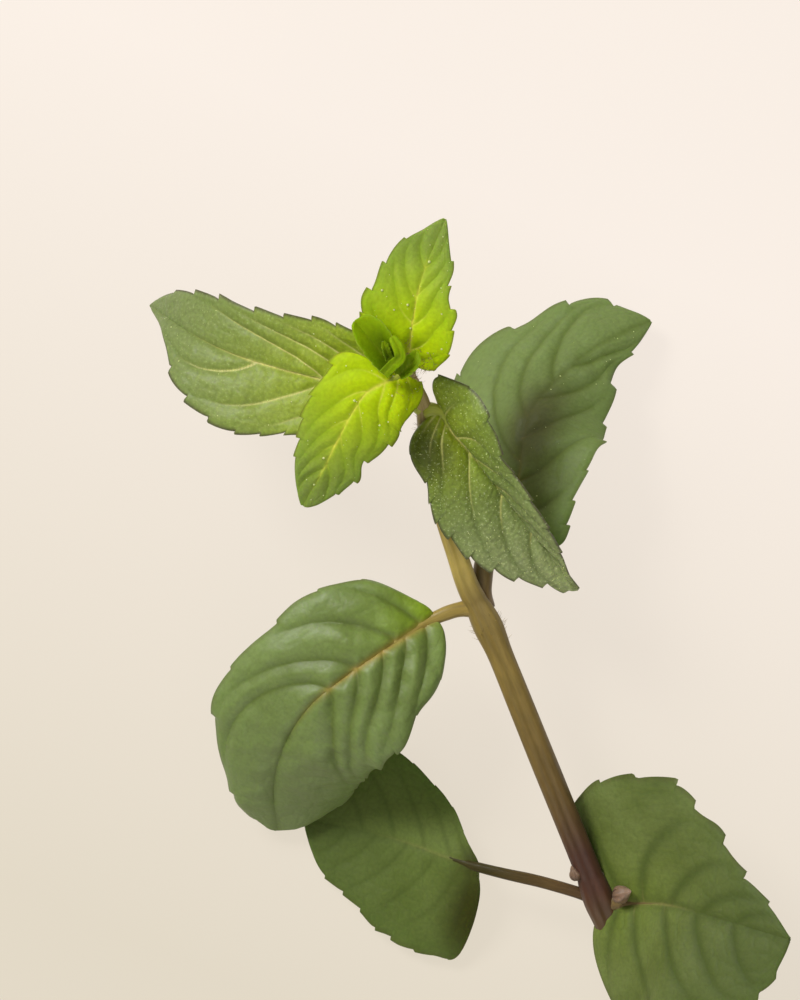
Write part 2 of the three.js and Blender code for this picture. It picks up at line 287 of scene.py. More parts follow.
# Living leaf blade: soft green tissue under a thin waxy skin. The skin gives a satin gloss, the
# tissue lets some light through, and the veins show paler because they hold less green.
def leafMaterial(finish):
    material, tree = startMaterial(finish["name"])
    flat = addNode(tree, "ShaderNodeUVMap", {"uv_map": "flat"}).outputs["UV"]
    marks = {
        name: addNode(tree, "ShaderNodeAttribute", {"attribute_name": name}).outputs["Fac"]
        for name in ("vein", "furrowShade", "net", "baseTintAndPaintedLight", "paintedShade", "tipward", "rim", "under")
    }
    # Cloudy patches 5 mm wide, fine mottling of 0.35 mm, and skin cells drawn coarse, at 0.42 mm, to show
    patches = addNode(tree, "ShaderNodeTexNoise", {"Scale": perSize(5), "Detail": 3}, {"Vector": flat})
    mottling = addNode(tree, "ShaderNodeTexNoise", {"Scale": perSize(0.35), "Detail": 3}, {"Vector": flat})
    cells = addNode(
        tree,
        "ShaderNodeTexVoronoi",
        {"feature": "DISTANCE_TO_EDGE", "Scale": perSize(0.42)},
        {"Vector": flat},
    )
    spread = addNode(tree, "ShaderNodeMapRange", noiseReach, {"Value": patches.outputs["Fac"]})
    colour = addNode(
        tree,
        "ShaderNodeMix",
        {"data_type": "RGBA", mixLow: toLinear(finish["deep"]), mixHigh: toLinear(finish["light"])},
        {mixFactor: spread.outputs["Result"]},
    ).outputs[mixResult]
    layers = [
        ("tipward", finish["tipShare"], finish["tip"]),
        # the colour round the base is the young tint of new tissue, and on some leaves painted light or
        # painted shade
        ("baseTintAndPaintedLight", 1.0, finish["baseTintAndPaintedLight"]),
        ("net", finish["netShare"], finish["net"]),
        # the furrow colour is painted shade in the grooves along the veins
        ("furrowShade", finish["furrowShadeShare"], finish["furrowShade"]),
        # the darker patches are painted shadow, laid where other leaves or folds would shade the blade
        ("paintedShade", 1.0, finish["paintedShade"]),
        ("under", finish["underShare"], finish["under"]),
        ("vein", finish["veinShare"], finish["vein"]),
        ("rim", finish["rimShare"], finish["rim"]),
    ]
    for mark, share, layerColour in layers:
        amount = addNode(tree, "ShaderNodeMath", {"operation": "MULTIPLY", 1: share}, {0: marks[mark]})
        colour = addNode(
            tree,
            "ShaderNodeMix",
            {"data_type": "RGBA", mixHigh: toLinear(layerColour)},
            {mixFactor: amount.outputs[0], mixLow: colour},
        ).outputs[mixResult]
    grain = addNode(
        tree,
        "ShaderNodeMapRange",
        {**noiseReach, "To Min": 1 - finish["grain"], "To Max": 1 + finish["grain"]},
        {"Value": mottling.outputs["Fac"]},
    )
    colour = addNode(
        tree,
        "ShaderNodeMix",
        {"data_type": "RGBA", "blend_type": "MULTIPLY", mixFactor: 1.0},
        {mixLow: colour, mixHigh: grain.outputs["Result"]},
    ).outputs[mixResult]
    # Short hairs and gland heads too small to model catch the light as pale specks
    heads = addNode(tree, "ShaderNodeTexVoronoi", {"Scale": perSize(finish["speckSize"])}, {"Vector": flat})
    near = addNode(
        tree,
        "ShaderNodeMapRange",
        {"From Min": 0.12, "From Max": 0.42, "To Min": 1, "To Max": 0},
        {"Value": heads.outputs["Distance"]},
    )
    strength = addNode(
        tree,
        "ShaderNodeMapRange",
        {"From Min": 0.45, "From Max": 0.75, "To Max": finish["specks"]},
        {"Value": mottling.outputs["Fac"]},
    )
    speck = addNode(
        tree,
        "ShaderNodeMath",
        {"operation": "MULTIPLY"},
        {0: near.outputs["Result"], 1: strength.outputs["Result"]},
    )
    # Fewer specks where the colour round the base lies, whether young tint or painted light
    grown = addNode(tree, "ShaderNodeMath", {"operation": "SUBTRACT", 0: 1.0}, {1: marks["baseTintAndPaintedLight"]})
    speck = addNode(
        tree,
        "ShaderNodeMath",
        {"operation": "MULTIPLY"},
        {0: speck.outputs[0], 1: grown.outputs[0]},
    )
    colour = addNode(
        tree,
        "ShaderNodeMix",
        {"data_type": "RGBA", mixHigh: toLinear("#c9d3a6")},
        {mixFactor: speck.outputs[0], mixLow: colour},
    ).outputs[mixResult]
    dull = finish["roughness"]
    gloss = addNode(
        tree,
        "ShaderNodeMapRange",
        {**noiseReach, "To Min": dull - 0.07, "To Max": dull + 0.07},
        {"Value": mottling.outputs["Fac"]},
    )
    skin = addNode(
        tree,
        "ShaderNodeBump",
        {"Strength": 0.35, "Distance": 0.03 * mm},
        {"Height": cells.outputs["Distance"]},
    )
    skin = addNode(
        tree,
        "ShaderNodeBump",
        {"Strength": 0.8, "Distance": finish["grain"] * 0.4 * mm},
        {"Height": mottling.outputs["Fac"], "Normal": skin.outputs["Normal"]},
    )
    surface = addNode(
        tree,
        "ShaderNodeBsdfPrincipled",
        {
            "IOR": 1.45,
            "Specular IOR Level": finish["specular"],
            "Subsurface Weight": finish["depth"],
            "Subsurface Radius": (0.5, 1.0, 0.12),
            "Subsurface Scale": 0.8 * mm,
            "Sheen Weight": finish["sheen"],
            "Sheen Roughness": 0.4,
        },
        {"Base Color": colour, "Roughness": gloss.outputs["Result"], "Normal": skin.outputs["Normal"]},
    )
    addNode(tree, "ShaderNodeOutputMaterial", {}, {"Surface": surface.outputs["BSDF"]})
    return material


# Stalk or stem skin: smooth, slightly ribbed lengthwise, with a satin gloss. Reddish pigment lies
# over the green where light falls on it, so the colour drifts along and round the stem.
def barkMaterial(finish):
    material, tree = startMaterial(finish["name"])
    along = addNode(tree, "ShaderNodeAttribute", {"attribute_name": "along"}).outputs["Fac"]
    turn = addNode(tree, "ShaderNodeAttribute", {"attribute_name": "turn"}).outputs["Fac"]
    place = addNode(tree, "ShaderNodeTexCoord").outputs["Object"]
    stops = finish["stops"]
    share = addNode(
        tree, "ShaderNodeMapRange", {"From Min": stops[0][0], "From Max": stops[-1][0]}, {"Value": along}
    )
    ramp = addNode(tree, "ShaderNodeValToRGB", {}, {"Fac": share.outputs["Result"]})
    span = stops[-1][0] - stops[0][0]
    while len(ramp.color_ramp.elements) < len(stops):
        ramp.color_ramp.elements.new(0.5)
    for element, (where, stopColour) in zip(ramp.color_ramp.elements, stops):
        element.position = (where - stops[0][0]) / span
        element.color = toLinear(stopColour)
    # Streaks: the pattern turns with the stem and is drawn out lengthwise
    sine = addNode(tree, "ShaderNodeMath", {"operation": "SINE"}, {0: turn})
    cosine = addNode(tree, "ShaderNodeMath", {"operation": "COSINE"}, {0: turn})
    ring = {"X": sine.outputs[0], "Y": cosine.outputs[0], "Z": along}
    spun = addNode(tree, "ShaderNodeCombineXYZ", {}, ring)
    drawn = addNode(tree, "ShaderNodeMapping", {"Scale": (1, 1, 0.12)}, {"Vector": spun.outputs["Vector"]})
    streaks = addNode(
        tree,
        "ShaderNodeTexNoise",
        {"Scale": 3.2, "Detail": 4, "Roughness": 0.6},
        {"Vector": drawn.outputs["Vector"]},
    )
    flecks = addNode(tree, "ShaderNodeTexNoise", {"Scale": perSize(0.6), "Detail": 2}, {"Vector": place})
    tone = addNode(
        tree,
        "ShaderNodeMapRange",
        {**noiseReach, "To Min": 0.82, "To Max": 1.18},
        {"Value": streaks.outputs["Fac"]},
    )
    colour = addNode(
        tree,
        "ShaderNodeMix",
        {"data_type": "RGBA", "blend_type": "MULTIPLY", mixFactor: 1.0},
        {mixLow: ramp.outputs["Color"], mixHigh: tone.outputs["Result"]},
    ).outputs[mixResult]
    gloss = addNode(
        tree,
        "ShaderNodeMapRange",
        {**noiseReach, "To Min": 0.38, "To Max": 0.55},
        {"Value": flecks.outputs["Fac"]},
    )
    ribs = addNode(
        tree, "ShaderNodeBump", {"Strength": 0.35, "Distance": 0.05 * mm}, {"Height": streaks.outputs["Fac"]}
    )
    skin = addNode(
        tree,
        "ShaderNodeBump",
        {"Strength": 0.3, "Distance": 0.03 * mm},
        {"Height": flecks.outputs["Fac"], "Normal": ribs.outputs["Normal"]},
    )
    # A cut end shows pale moist pith
    cut = addNode(tree, "ShaderNodeAttribute", {"attribute_name": "cut"}).outputs["Fac"]
    colour = addNode(
        tree,
        "ShaderNodeMix",
        {"data_type": "RGBA", mixHigh: toLinear("#c3c49a")},
        {mixFactor: cut, mixLow: colour},
    ).outputs[mixResult]
    surface = addNode(
        tree,
        "ShaderNodeBsdfPrincipled",
        {
            "IOR": 1.45,
            "Specular IOR Level": finish["specular"],
            "Subsurface Weight": 0.12,
            "Subsurface Radius": (1.0, 0.6, 0.25),
            "Subsurface Scale": 0.6 * mm,
            "Sheen Weight": 0.05,
        },
        {"Base Color": colour, "Roughness": gloss.outputs["Result"], "Normal": skin.outputs["Normal"]},
    )
    addNode(tree, "ShaderNodeOutputMaterial", {}, {"Surface": surface.outputs["BSDF"]})
    return material


# Oil gland: a droplet under a clear tight skin, so it is pale, glossy and a little see-through
def glandMaterial():
    material, tree = startMaterial("mint oil gland")
    place = addNode(tree, "ShaderNodeTexCoord").outputs["Object"]
    clouds = addNode(tree, "ShaderNodeTexNoise", {"Scale": perSize(0.8), "Detail": 1}, {"Vector": place})
    colour = addNode(
        tree,
        "ShaderNodeMix",
        {"data_type": "RGBA", mixLow: toLinear("#b4c470"), mixHigh: toLinear("#e2e8a8")},
        {mixFactor: clouds.outputs["Fac"]},
    )
    surface = addNode(
        tree,
        "ShaderNodeBsdfPrincipled",
        {
            "IOR": 1.47,
            "Roughness": 0.3,
            "Subsurface Weight": 0.3,
            "Subsurface Radius": (0.8, 1.0, 0.5),
            "Subsurface Scale": 0.05 * mm,
        },
        {"Base Color": colour.outputs[mixResult]},
    )
    addNode(tree, "ShaderNodeOutputMaterial", {}, {"Surface": surface.outputs["BSDF"]})
    return material


# Plant hair: a thin dry spike, its colour drifting between brown and pale in patches
def hairMaterial():
    material, tree = startMaterial("mint hair")
    place = addNode(tree, "ShaderNodeTexCoord").outputs["Object"]
    drift = addNode(tree, "ShaderNodeTexNoise", {"Scale": perSize(0.5), "Detail": 1}, {"Vector": place})
    colour = addNode(
        tree,
        "ShaderNodeMix",
        {"data_type": "RGBA", mixLow: toLinear("#6b5426"), mixHigh: toLinear("#b3a266")},
        {mixFactor: drift.outputs["Fac"]},
    )
    surface = addNode(
        tree,
        "ShaderNodeBsdfPrincipled",
        {"IOR": 1.5, "Roughness": 0.45},
        {"Base Color": colour.outputs[mixResult]},
    )
    addNode(tree, "ShaderNodeOutputMaterial", {}, {"Surface": surface.outputs["BSDF"]})
    return material


# Leaf blades

edgeRate = 1.25  # how the rows of a blade close up towards its base, along the edge
ribRate = 1.5  # the same along the midrib, so that rows slant forward
lobeReach = 0.3  # share of the edge over which a base lobe hangs back past the stalk
bladeReach = 0.1  # a blade's halves turn with this share of the midrib, so they never crumple in a bend
veinEnd = 0.96  # side veins stop just short of the edge
veinWidth = 0.12  # half width of a pale side vein, millimetres
netWidth = 0.12  # half width of a groove of the fine net between the veins
channelWidth = 0.6  # half width of the channel that the midrib lies in


# Width of half a blade at a share of its edge, against its widest
def outline(share, blunt, drawn):
    widest = blunt / (blunt + drawn)
    top = widest ** blunt * (1 - widest) ** drawn
    return share ** blunt * (1 - share) ** drawn / top


# Saw teeth along one edge, from the shares of the way at which their points stand: each rises in
# a bow to a point that leans forward, then drops
def sawTeeth(share, points, depth, seed):
    heights = depth * (0.75 + 0.5 * np.random.default_rng(seed).random(len(points)))
    drop = 0.012
    notches = np.array([points[0] - 0.1] + [point + drop for point in points])
    tooth = np.clip(np.searchsorted(notches, share, side="right") - 1, 0, len(points) - 1)
    part = (share - notches[tooth]) / (notches[tooth + 1] - notches[tooth])
    peak = 1 - drop / (notches[tooth + 1] - notches[tooth])
    rise = np.where(part < peak, (np.clip(part, 0, 1) / peak) ** 0.6, (1 - part) / (1 - peak))
    inside = (share > notches[0]) & (share < notches[-1])
    return heights[tooth] * np.where(inside, rise - 0.45, 0)


def bothSides(pair, share, isRight):
    return np.where(isRight, readAlong(pair[1], share), readAlong(pair[0], share))


# Where the rows and columns of a blade lie on the leaf laid flat: across and along, millimetres
def layFlat(leaf, length, row, column):
    isRight = column > 0
    out = np.abs(column)
    edge = row ** edgeRate
    rib = row ** ribRate
    ends = 0.5 - 0.38 * edge
    left = sawTeeth(edge, leaf["teeth"][0], leaf["toothDepth"][0], leaf["seed"])
    right = sawTeeth(edge, leaf["teeth"][1], leaf["toothDepth"][1], leaf["seed"] + 1)
    tooth = np.where(isRight, right, left) * out ** 7
    lobe = np.where(isRight, leaf["lobe"][1], leaf["lobe"][0])
    back = lobe * np.sin(np.pi * np.minimum(edge / lobeReach, 1) ** 0.6)
    half = np.where(isRight, leaf["half"][1], leaf["half"][0]) - ends
    blunt = np.where(isRight, leaf["round"][1], leaf["round"][0])
    drawn = np.where(isRight, leaf["taper"][1], leaf["taper"][0])
    reach = (half * outline(edge, blunt, drawn) + ends) * bothSides(leaf["trim"], edge, isRight)
    across = reach * out + tooth
    along = (rib + (edge - rib) * out ** 1.35) * length - back * out ** 1.35 + tooth
    return across * np.sign(column), along


# Lifts the flat leaf into place: each half slopes and curls up from the midrib
def bendBlade(leaf, curve, across, along, column, height):
    isRight = column > 0
    share = along / curve["total"]
    slope = np.radians(bothSides(leaf["slope"], share, isRight))
    curl = np.radians(bothSides(leaf["curl"], share, isRight)) * np.abs(column)
    chord = np.abs(across) * np.sinc(curl / 2 / np.pi)
    forward, right, up = framesAt(curve, along, bladeReach)
    sideways = np.sign(column) * (chord * np.cos(slope + curl / 2) - height * np.sin(slope + curl))
    upwards = chord * np.sin(slope + curl / 2) + height * np.cos(slope + curl)
    return pointsPast(curve, along) + right * sideways[:, None] + up * upwards[:, None]


# The direction of a blade's upper face
def bendUp(leaf, curve, across, along, column):
    low = bendBlade(leaf, curve, across, along, column, np.zeros(len(across)))
    high = bendBlade(leaf, curve, across, along, column, np.ones(len(across)))
    return high - low


# How far each point is from a line drawn on the flat leaf, and where along the line
def nearLine(x, y, line):
    start = line[:-1]
    step = line[1:] - start
    px = x[:, None] - start[None, :, 0]
    py = y[:, None] - start[None, :, 1]
    share = np.clip((px * step[:, 0] + py * step[:, 1]) / (step ** 2).sum(1), 0, 1)
    away = np.hypot(px - share * step[:, 0], py - share * step[:, 1])
    k = away.argmin(1)
    pick = np.arange(len(x))
    return away[pick, k], (k + share[pick, k]) / len(step)


# Side veins: each leaves the midrib at one share of the way and meets the edge at another, further on
def sideVeins(leaf, length):
    out = np.linspace(1e-6, veinEnd, 30)
    untoothed = {**leaf, "toothDepth": [0, 0]}
    lines = []
    for side, sign in ((0, -1), (1, 1)):
        for start, end in leaf["veins"][side]:
            first = start ** (1 / ribRate)
            last = end ** (1 / edgeRate)
            row = first + (last - first) * out ** leaf["veinBow"]
            across, along = layFlat(untoothed, length, row, sign * out)
            lines.append((sign, np.stack([across, along], -1)))
    return lines


hairRadius = 0.022  # millimetres, a little coarser than real so that hairs show


# Hairs: fine tapering spikes of the lengths given, in millimetres
def growHairs(places, directions, lengths):
    deselectAll()
    bpy.ops.mesh.primitive_cone_add(vertices=4, radius1=1, radius2=0.15, depth=1, location=(0, 0, 0.5))
    bpy.ops.object.transform_apply(location=True, rotation=False, scale=False)
    spike = bpy.context.object
    radii = np.full(len(lengths), hairRadius)
    sizes = np.stack([radii, radii, lengths], -1) * mm
    hairs = scatter("hairs", spike, places, directions, sizes)
    bpy.data.objects.remove(spike)
    hairs.data.materials.append(hairSkin)
    return hairs


# Marks and heights over a flat blade. Veins lie in furrows, pale near the leaf's base and painted dark with
# shade further out, and the tissue bulges between them; patches of painted shadow darken the blade where
# other leaves shade it.
def bladeRelief(leaf, length, across, along, out):
    ribAway = np.abs(across)
    share = np.clip(along / length, 0, 1)
    ribPale = 1 - smoothstep(leaf["paleRib"] - 0.2, leaf["paleRib"] + 0.2, share)
    line = np.exp(-((ribAway / (0.1 + leaf["ribWidth"] * (1 - share))) ** 2))
    vein = line * ribPale
    width = leaf["furrowWidth"]
    # Painted shade in the groove beside the midrib
    furrowShade = np.exp(-((ribAway / width) ** 2)) * (1 - 0.6 * ribPale) * (1 - 0.4 * share)
    valley = np.minimum(ribAway, 4) + 0.5 * share
    paleFrom = leaf["paleVein"] - 0.25
    paleTo = leaf["paleVein"] + 0.25
    for sign, path in sideVeins(leaf, length):
        away, way = nearLine(across, along, path)
        away = np.where(across * sign < -0.01, 9, away)
        pale = 1 - smoothstep(paleFrom, paleTo, way + 0.6 * path[0, 1] / length)
        vein = np.maximum(vein, 0.9 * pale * np.exp(-((away / veinWidth) ** 2)))
        # Further out the vein's groove is painted dark with shade
        dark = (1 - 0.7 * pale) * (1 - way ** 3)
        furrowShade = np.maximum(furrowShade, dark * np.exp(-((away / width) ** 2)))
        valley = np.minimum(valley, away + 0.9 * way ** 4)
    cell = leaf["netSize"]
    drift = softNoise(across / 2.5, along / 2.5, leaf["seed"]) * 0.8
    walls = cellWalls(across / cell + drift, along / cell - drift, leaf["seed"]) * cell
    net = np.exp(-((walls / netWidth) ** 2)) * smoothstep(0.1, 0.45, valley)
    swell = softNoise(across / 3 + 9, along / 3, leaf["seed"] + 2)
    dents = softNoise(across / 1.7, along / 1.3 + 5, leaf["seed"] + 4) - 0.5
    calmTip = 1 - leaf["fade"] * smoothstep(0.35, 0.85, share)
    mound = (0.55 + 0.9 * swell) * (1 - np.exp(-((valley / (2 * width)) ** 1.4)))
    pillow = leaf["quilt"] * calmTip * (mound + 0.55 * dents)
    pebble = leaf["pebble"] * (1 - np.exp(-((walls / 0.4) ** 2))) * smoothstep(0.0, 0.8, valley)
    ripple = softNoise(along / 2.4, np.sign(across) * 7 + leaf["seed"], 3) * 2 - 1
    channel = leaf["channel"] * np.exp(-((ribAway / channelWidth) ** 2)) * (1 - share)
    height = (pillow + pebble) * (1 - out ** 10) + leaf["wave"] * out ** 3 * ripple - channel

    # The colour round the base: the young tint of new tissue, which on the oldest leaf is painted light and
    # in the bud painted shade
    nearBase = np.hypot(across * 1.25, along) / leaf["baseTintAndPaintedLightReach"]
    baseTintAndPaintedLight = leaf["baseTintAndPaintedLight"] * np.where(across < 0, leaf["baseTintAndPaintedLightSides"][0], leaf["baseTintAndPaintedLightSides"][1])
    # Darker patches of painted shade, each where a leaf above or a fold would cast shadow on the blade
    paintedShade = np.zeros(len(across))
    for x, y, wide, long, deep in leaf["paintedShades"]:
        paintedShade = np.maximum(paintedShade, deep * np.exp(-(np.hypot((across - x) / wide, (along - y) / long) ** 3)))
    marks = {
        "vein": vein,
        "furrowShade": furrowShade * calmTip,
        "net": net,
        "baseTintAndPaintedLight": baseTintAndPaintedLight * np.exp(-(nearBase ** 1.6)),
        "paintedShade": paintedShade,
        "tipward": smoothstep(0.2, 0.95, share + 0.12 * out),
        "rim": smoothstep(0.94, 1.0, out),
    }
    return marks, height


# Gives the blade its thickness, which thins out towards the edge
def thickenBlade(leaf, piece, out):
    group = piece.vertex_groups.new(name="thickness")
    for level in range(5):
        chosen = np.nonzero((out ** 3 * 4).round().astype(int) == level)[0]
        group.add(chosen.tolist(), 1 - 0.13 * level, "REPLACE")
    choose(piece)
    solidify = piece.modifiers.new("thickness", "SOLIDIFY")
    solidify.thickness = leaf["thickness"] * mm
    solidify.offset = 0
    solidify.vertex_group = "thickness"
    bpy.ops.object.modifier_apply(modifier="thickness")
    piece.vertex_groups.clear()


# Oil glands, tiny pale drops on the upper face, and hairs round the base of a young leaf
def dressBlade(leaf, piece, top, upwards, inGlands, inHairs):
    chance = np.random.default_rng(leaf["seed"])
    if leaf["glands"]:
        picked = chance.choice(inGlands, leaf["glands"], replace=False)
        widths = leaf["glandSize"] * (0.4 + 1.1 * chance.random(len(picked)) ** 4) * mm
        bpy.ops.mesh.primitive_ico_sphere_add(subdivisions=1, radius=1)
        drop = bpy.context.object
        drops = scatter("glands", drop, top[picked], upwards[picked], widths[:, None] * [1, 1, 0.8])
        bpy.data.objects.remove(drop)
        drops.data.materials.append(glandSkin)
        joinInto(piece, [drops])
    if leaf["hairs"]:
        picked = chance.choice(inHairs, leaf["hairs"])
        lean = upwards[picked] + 1.6 * (chance.random((len(picked), 3)) - 0.5)
        joinInto(piece, [growHairs(top[picked], lean, 0.25 + 0.5 * chance.random(len(picked)))])


# A blade: a grid laid out as the flat leaf, marked, bent into place, thickened and dressed
def growBlade(leaf, finish, columns, rows):
    deselectAll()
    bpy.ops.mesh.primitive_grid_add(x_subdivisions=columns, y_subdivisions=rows, size=2)
    piece = bpy.context.object
    piece.name = piece.data.name = leaf["name"]
    piece.data.materials.append(finish)
    grid = cornersOf(piece)
    column = grid[:, 0].copy()
    out = np.abs(column)
    row = np.clip((grid[:, 1] + 1) / 2, 0, 1)
    curve = smoothCurve(leaf["midrib"])
    across, along = layFlat(leaf, curve["total"], row, column)
    column = np.where(column == 0, 1e-9, column)
    marks, height = bladeRelief(leaf, curve["total"], across, along, out)
    moveCorners(piece, bendBlade(leaf, curve, across, along, column, height) * mm)
    for name, values in marks.items():
        writeAttribute(piece, name, values)
    loops = np.empty(len(piece.data.loops), int)
    piece.data.loops.foreach_get("vertex_index", loops)
    piece.data.uv_layers[0].name = "flat"
    piece.data.uv_layers[0].data.foreach_set("uv", (np.stack([across, along], -1) * mm)[loops].ravel())

    thickenBlade(leaf, piece, out)
    corners = cornersOf(piece)
    upwards = bendUp(leaf, curve, across, along, column)
    count = len(upwards)
    upper = ((corners[:count] - corners[count:]) * upwards).sum(1) > 0
    writeAttribute(piece, "under", np.concatenate([~upper, upper]).astype(float))
    bpy.ops.object.shade_smooth_by_angle(angle=math.radians(50))

    top = np.where(upper[:, None], corners[:count], corners[count:])
    inGlands = np.nonzero((out < 0.9) & (row > 0.08) & (row < 0.96))[0]
    inHairs = np.nonzero((np.hypot(across, along) < 3) & (out < 0.95))[0]
    dressBlade(leaf, piece, top, upwards, inGlands, inHairs)
    return piece, curve


# The stalk, from inside the stem, and the midrib that it becomes: it sinks into the blade's base and
# thins out under it. Knots and radii say how thick it is along its way.
def growStalk(leaf, curve):
    shares = np.linspace(0.02, leaf["ribReach"], 15)
    up = framesAt(curve, shares * curve["total"])[2]
    ribRadius = leaf["stalkRadius"] * 0.85 * (1 - 0.93 * shares / leaf["ribReach"])
    sink = ribRadius * 0.85 + leaf["thickness"] * 0.1
    sink += leaf["channel"] * (1 - shares) * smoothstep(0, 0.6, shares)
    sink[0] = ribRadius[0] * 0.55
    sink[-1] = ribRadius[-1] + leaf["thickness"] * 0.3
    under = pointsAt(curve, shares * curve["total"]) - up * sink[:, None]
    path = smoothCurve(np.vstack([leaf["stalk"], under]))
    stalkLine = smoothCurve(np.vstack([leaf["stalk"], under[:1]]))
    baseAt = stalkLine["total"]
    ribPlaces = baseAt + (path["total"] - baseAt) * np.linspace(0, 1, len(shares))
    knots = np.concatenate([[0, baseAt * 0.6], ribPlaces])
    radii = np.concatenate([[leaf["stalkRadius"]] * 2, ribRadius])

    def shape(share, turn):
        along = share * path["total"]
        radius = np.interp(along, knots, radii)
        flare = 1 + 0.45 * np.exp(-((along / 1.1) ** 2))  # wider where it leaves the stem
        groove = 1 - 0.16 * np.exp(-(((turn - np.pi / 2) / 0.45) ** 2)) * (along < baseAt)
        ends = np.sqrt(np.clip(share / 0.01, 0, 1)) * np.sqrt(np.clip((1 - share) / 0.03, 0, 1))
        return along, radius * flare * groove * ends

    return addTube(leaf["name"] + "_stalk", path, 90, 20, shape)


# A whole leaf as one piece, blade and stalk, standing for its CAD node
def growLeaf(leaf, finish, stalkFinish, columns=96, rows=180):
    blade, curve = growBlade(leaf, finish, columns, rows)
    if "stalk" in leaf:
        stalk = growStalk(leaf, curve)
        stalk.data.materials.append(stalkFinish)
        joinInto(blade, [stalk])
    finishPiece(blade, leaf["node"])
    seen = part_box(leaf["node"])
    corners = cornersOf(blade)
    gap = max(abs(corners.min(0) - np.array(seen[0])).max(), abs(corners.max(0) - np.array(seen[1])).max())
    print(f"{leaf['name']}: {len(blade.data.polygons)} faces, box within {gap / mm:.1f} mm of its CAD node")


# Finishes of the leaf blades. Each has its colours and how strongly they cover, then its gloss, its grain,
# the pale specks that tiny hairs and glands make, and how far light goes into the tissue.
# Of the colours, the one for the vein furrows is painted shade, the one for the darker patches is painted
# shadow, and the one round the base is the young tint of new tissue, except where it is painted light or
# shade.

matureFinish = {
    "name": "mint leaf blade, old",
    "deep": "#525e28",
    "light": "#66723c",
    "tip": "#4c5a2a",
    "tipShare": 0.75,
    "baseTintAndPaintedLight": "#6f8226",
    # colour of the patches of painted shadow
    "paintedShade": "#303206",
    "under": "#7f8b5c",
    "underShare": 0.8,
    "net": "#465624",
    "netShare": 0.2,
    # painted shade laid in the vein furrows
    "furrowShade": "#3c4a18",
    "furrowShadeShare": 0.7,
    "vein": "#8e8650",
    "veinShare": 0.7,
    "rim": "#453824",
    "rimShare": 0.35,
    "roughness": 0.6,
    "specular": 0.25,
    "grain": 0.1,
    "specks": 0.0,
    "speckSize": 0.3,
    "depth": 0.12,
    "sheen": 0.04,
}
lowestFinish = {
    **matureFinish,
    "name": "mint leaf blade, oldest",
    "deep": "#4c5b24",
    "light": "#5f6e36",
    # its colour round the base is painted light, lifting the upper half out of the shadow of the leaf above
    "baseTintAndPaintedLight": "#6e7e3c",
    "veinShare": 0.2,
    "furrowShadeShare": 0.4,
    "specular": 0.15,
}
middleFinish = {
    **matureFinish,
    "name": "mint leaf blade, mature",
    "deep": "#617236",
    "light": "#728548",
    "tip": "#6c7e46",
    "baseTintAndPaintedLight": "#7c9800",
    "under": "#8a9668",
    "net": "#5d6e34",
    "furrowShade": "#516120",
    "vein": "#a0883c",
    "veinShare": 0.85,
    "furrowShadeShare": 0.85,
    "roughness": 0.5,
    "specular": 0.5,
}
shadedFinish = {
    **middleFinish,
    "name": "mint leaf blade, shaded",
    # for the middle right leaf: duller gloss, and its own colour of painted shadow from the leaves above
    "paintedShade": "#4a4622",
    "roughness": 0.52,
    "specular": 0.32,
}
upperFinish = {
    **matureFinish,
    "name": "mint leaf blade, grown",
    "deep": "#586a32",
    "light": "#67783e",
    "tip": "#6c7a4a",
    "tipShare": 0.8,
    "baseTintAndPaintedLight": "#b2c410",
    "under": "#97a56c",
    "net": "#657a33",
    "furrowShade": "#566a20",
    "furrowShadeShare": 0.65,
    "vein": "#cbc678",
    "veinShare": 1.0,
    "rim": "#3a2c24",
    "rimShare": 0.85,
    "roughness": 0.5,
    "specular": 0.4,
    "grain": 0.16,
    "specks": 0.3,
    "speckSize": 0.24,
}
foldedFinish = {
    **upperFinish,
    "name": "mint leaf blade, folded",
    "deep": "#4f6226",
    "light": "#617534",
    # painted shade inside the cup at the blade's base
    "paintedShade": "#424c02",
    "tip": "#8e9964",
    "tipShare": 0.9,
    "net": "#56692c",
    "furrowShade": "#47591a",
    "vein": "#cdca78",
    "grain": 0.22,
    "specks": 0.8,
}
youngFinish = {
    **matureFinish,
    "name": "mint leaf blade, young",
    "deep": "#93ae0a",
    "light": "#a2b81c",
    "tip": "#788a42",
    "tipShare": 1.0,
    "baseTintAndPaintedLight": "#b4ca00",
    # colour of the patches of painted shadow
    "paintedShade": "#5e7000",
    "under": "#a4b45a",
    "net": "#84a01e",
    "netShare": 0.15,
    "furrowShade": "#7c9a04",
    "furrowShadeShare": 0.4,
    "vein": "#cdd04e",
    "veinShare": 0.8,
    "rim": "#5c5426",
    "rimShare": 0.75,
    "roughness": 0.52,
    "specular": 0.07,
    "depth": 0.25,
    "sheen": 0,
}
budFinish = {
    **youngFinish,
    "name": "mint leaf blade, unfolding",
    "deep": "#6a8602",
    "light": "#7a9604",
    "tip": "#86a008",
    "tipShare": 0.6,
    # the colour round the base and the patch colour are painted shade, dark inside the bud
    "baseTintAndPaintedLight": "#3c5202",
    "paintedShade": "#4e6600",
    "furrowShade": "#5c7a04",
    "veinShare": 0.08,
    "rim": "#8aa030",
}
stemFinish = {
    "name": "mint stem skin",
    "specular": 0.5,
    "stops": [
        (0, "#5c4a24"),
        (16, "#58431f"),
        (23, "#47291a"),
        (27, "#46281a"),
        (33, "#5f4a22"),
        (48, "#7c682f"),
        (56, "#7a6832"),
        (60, "#a5924a"),
        (66, "#93803f"),
        (74, "#8c7c44"),
        (84, "#b5a070"),
        (92, "#b5a468"),
    ],
}
brownFinish = {
    "name": "mint leaf stalk, brown",
    "specular": 0.5,
    "stops": [(0, "#66502a"), (10, "#74683a"), (22, "#8a8f44")],
}
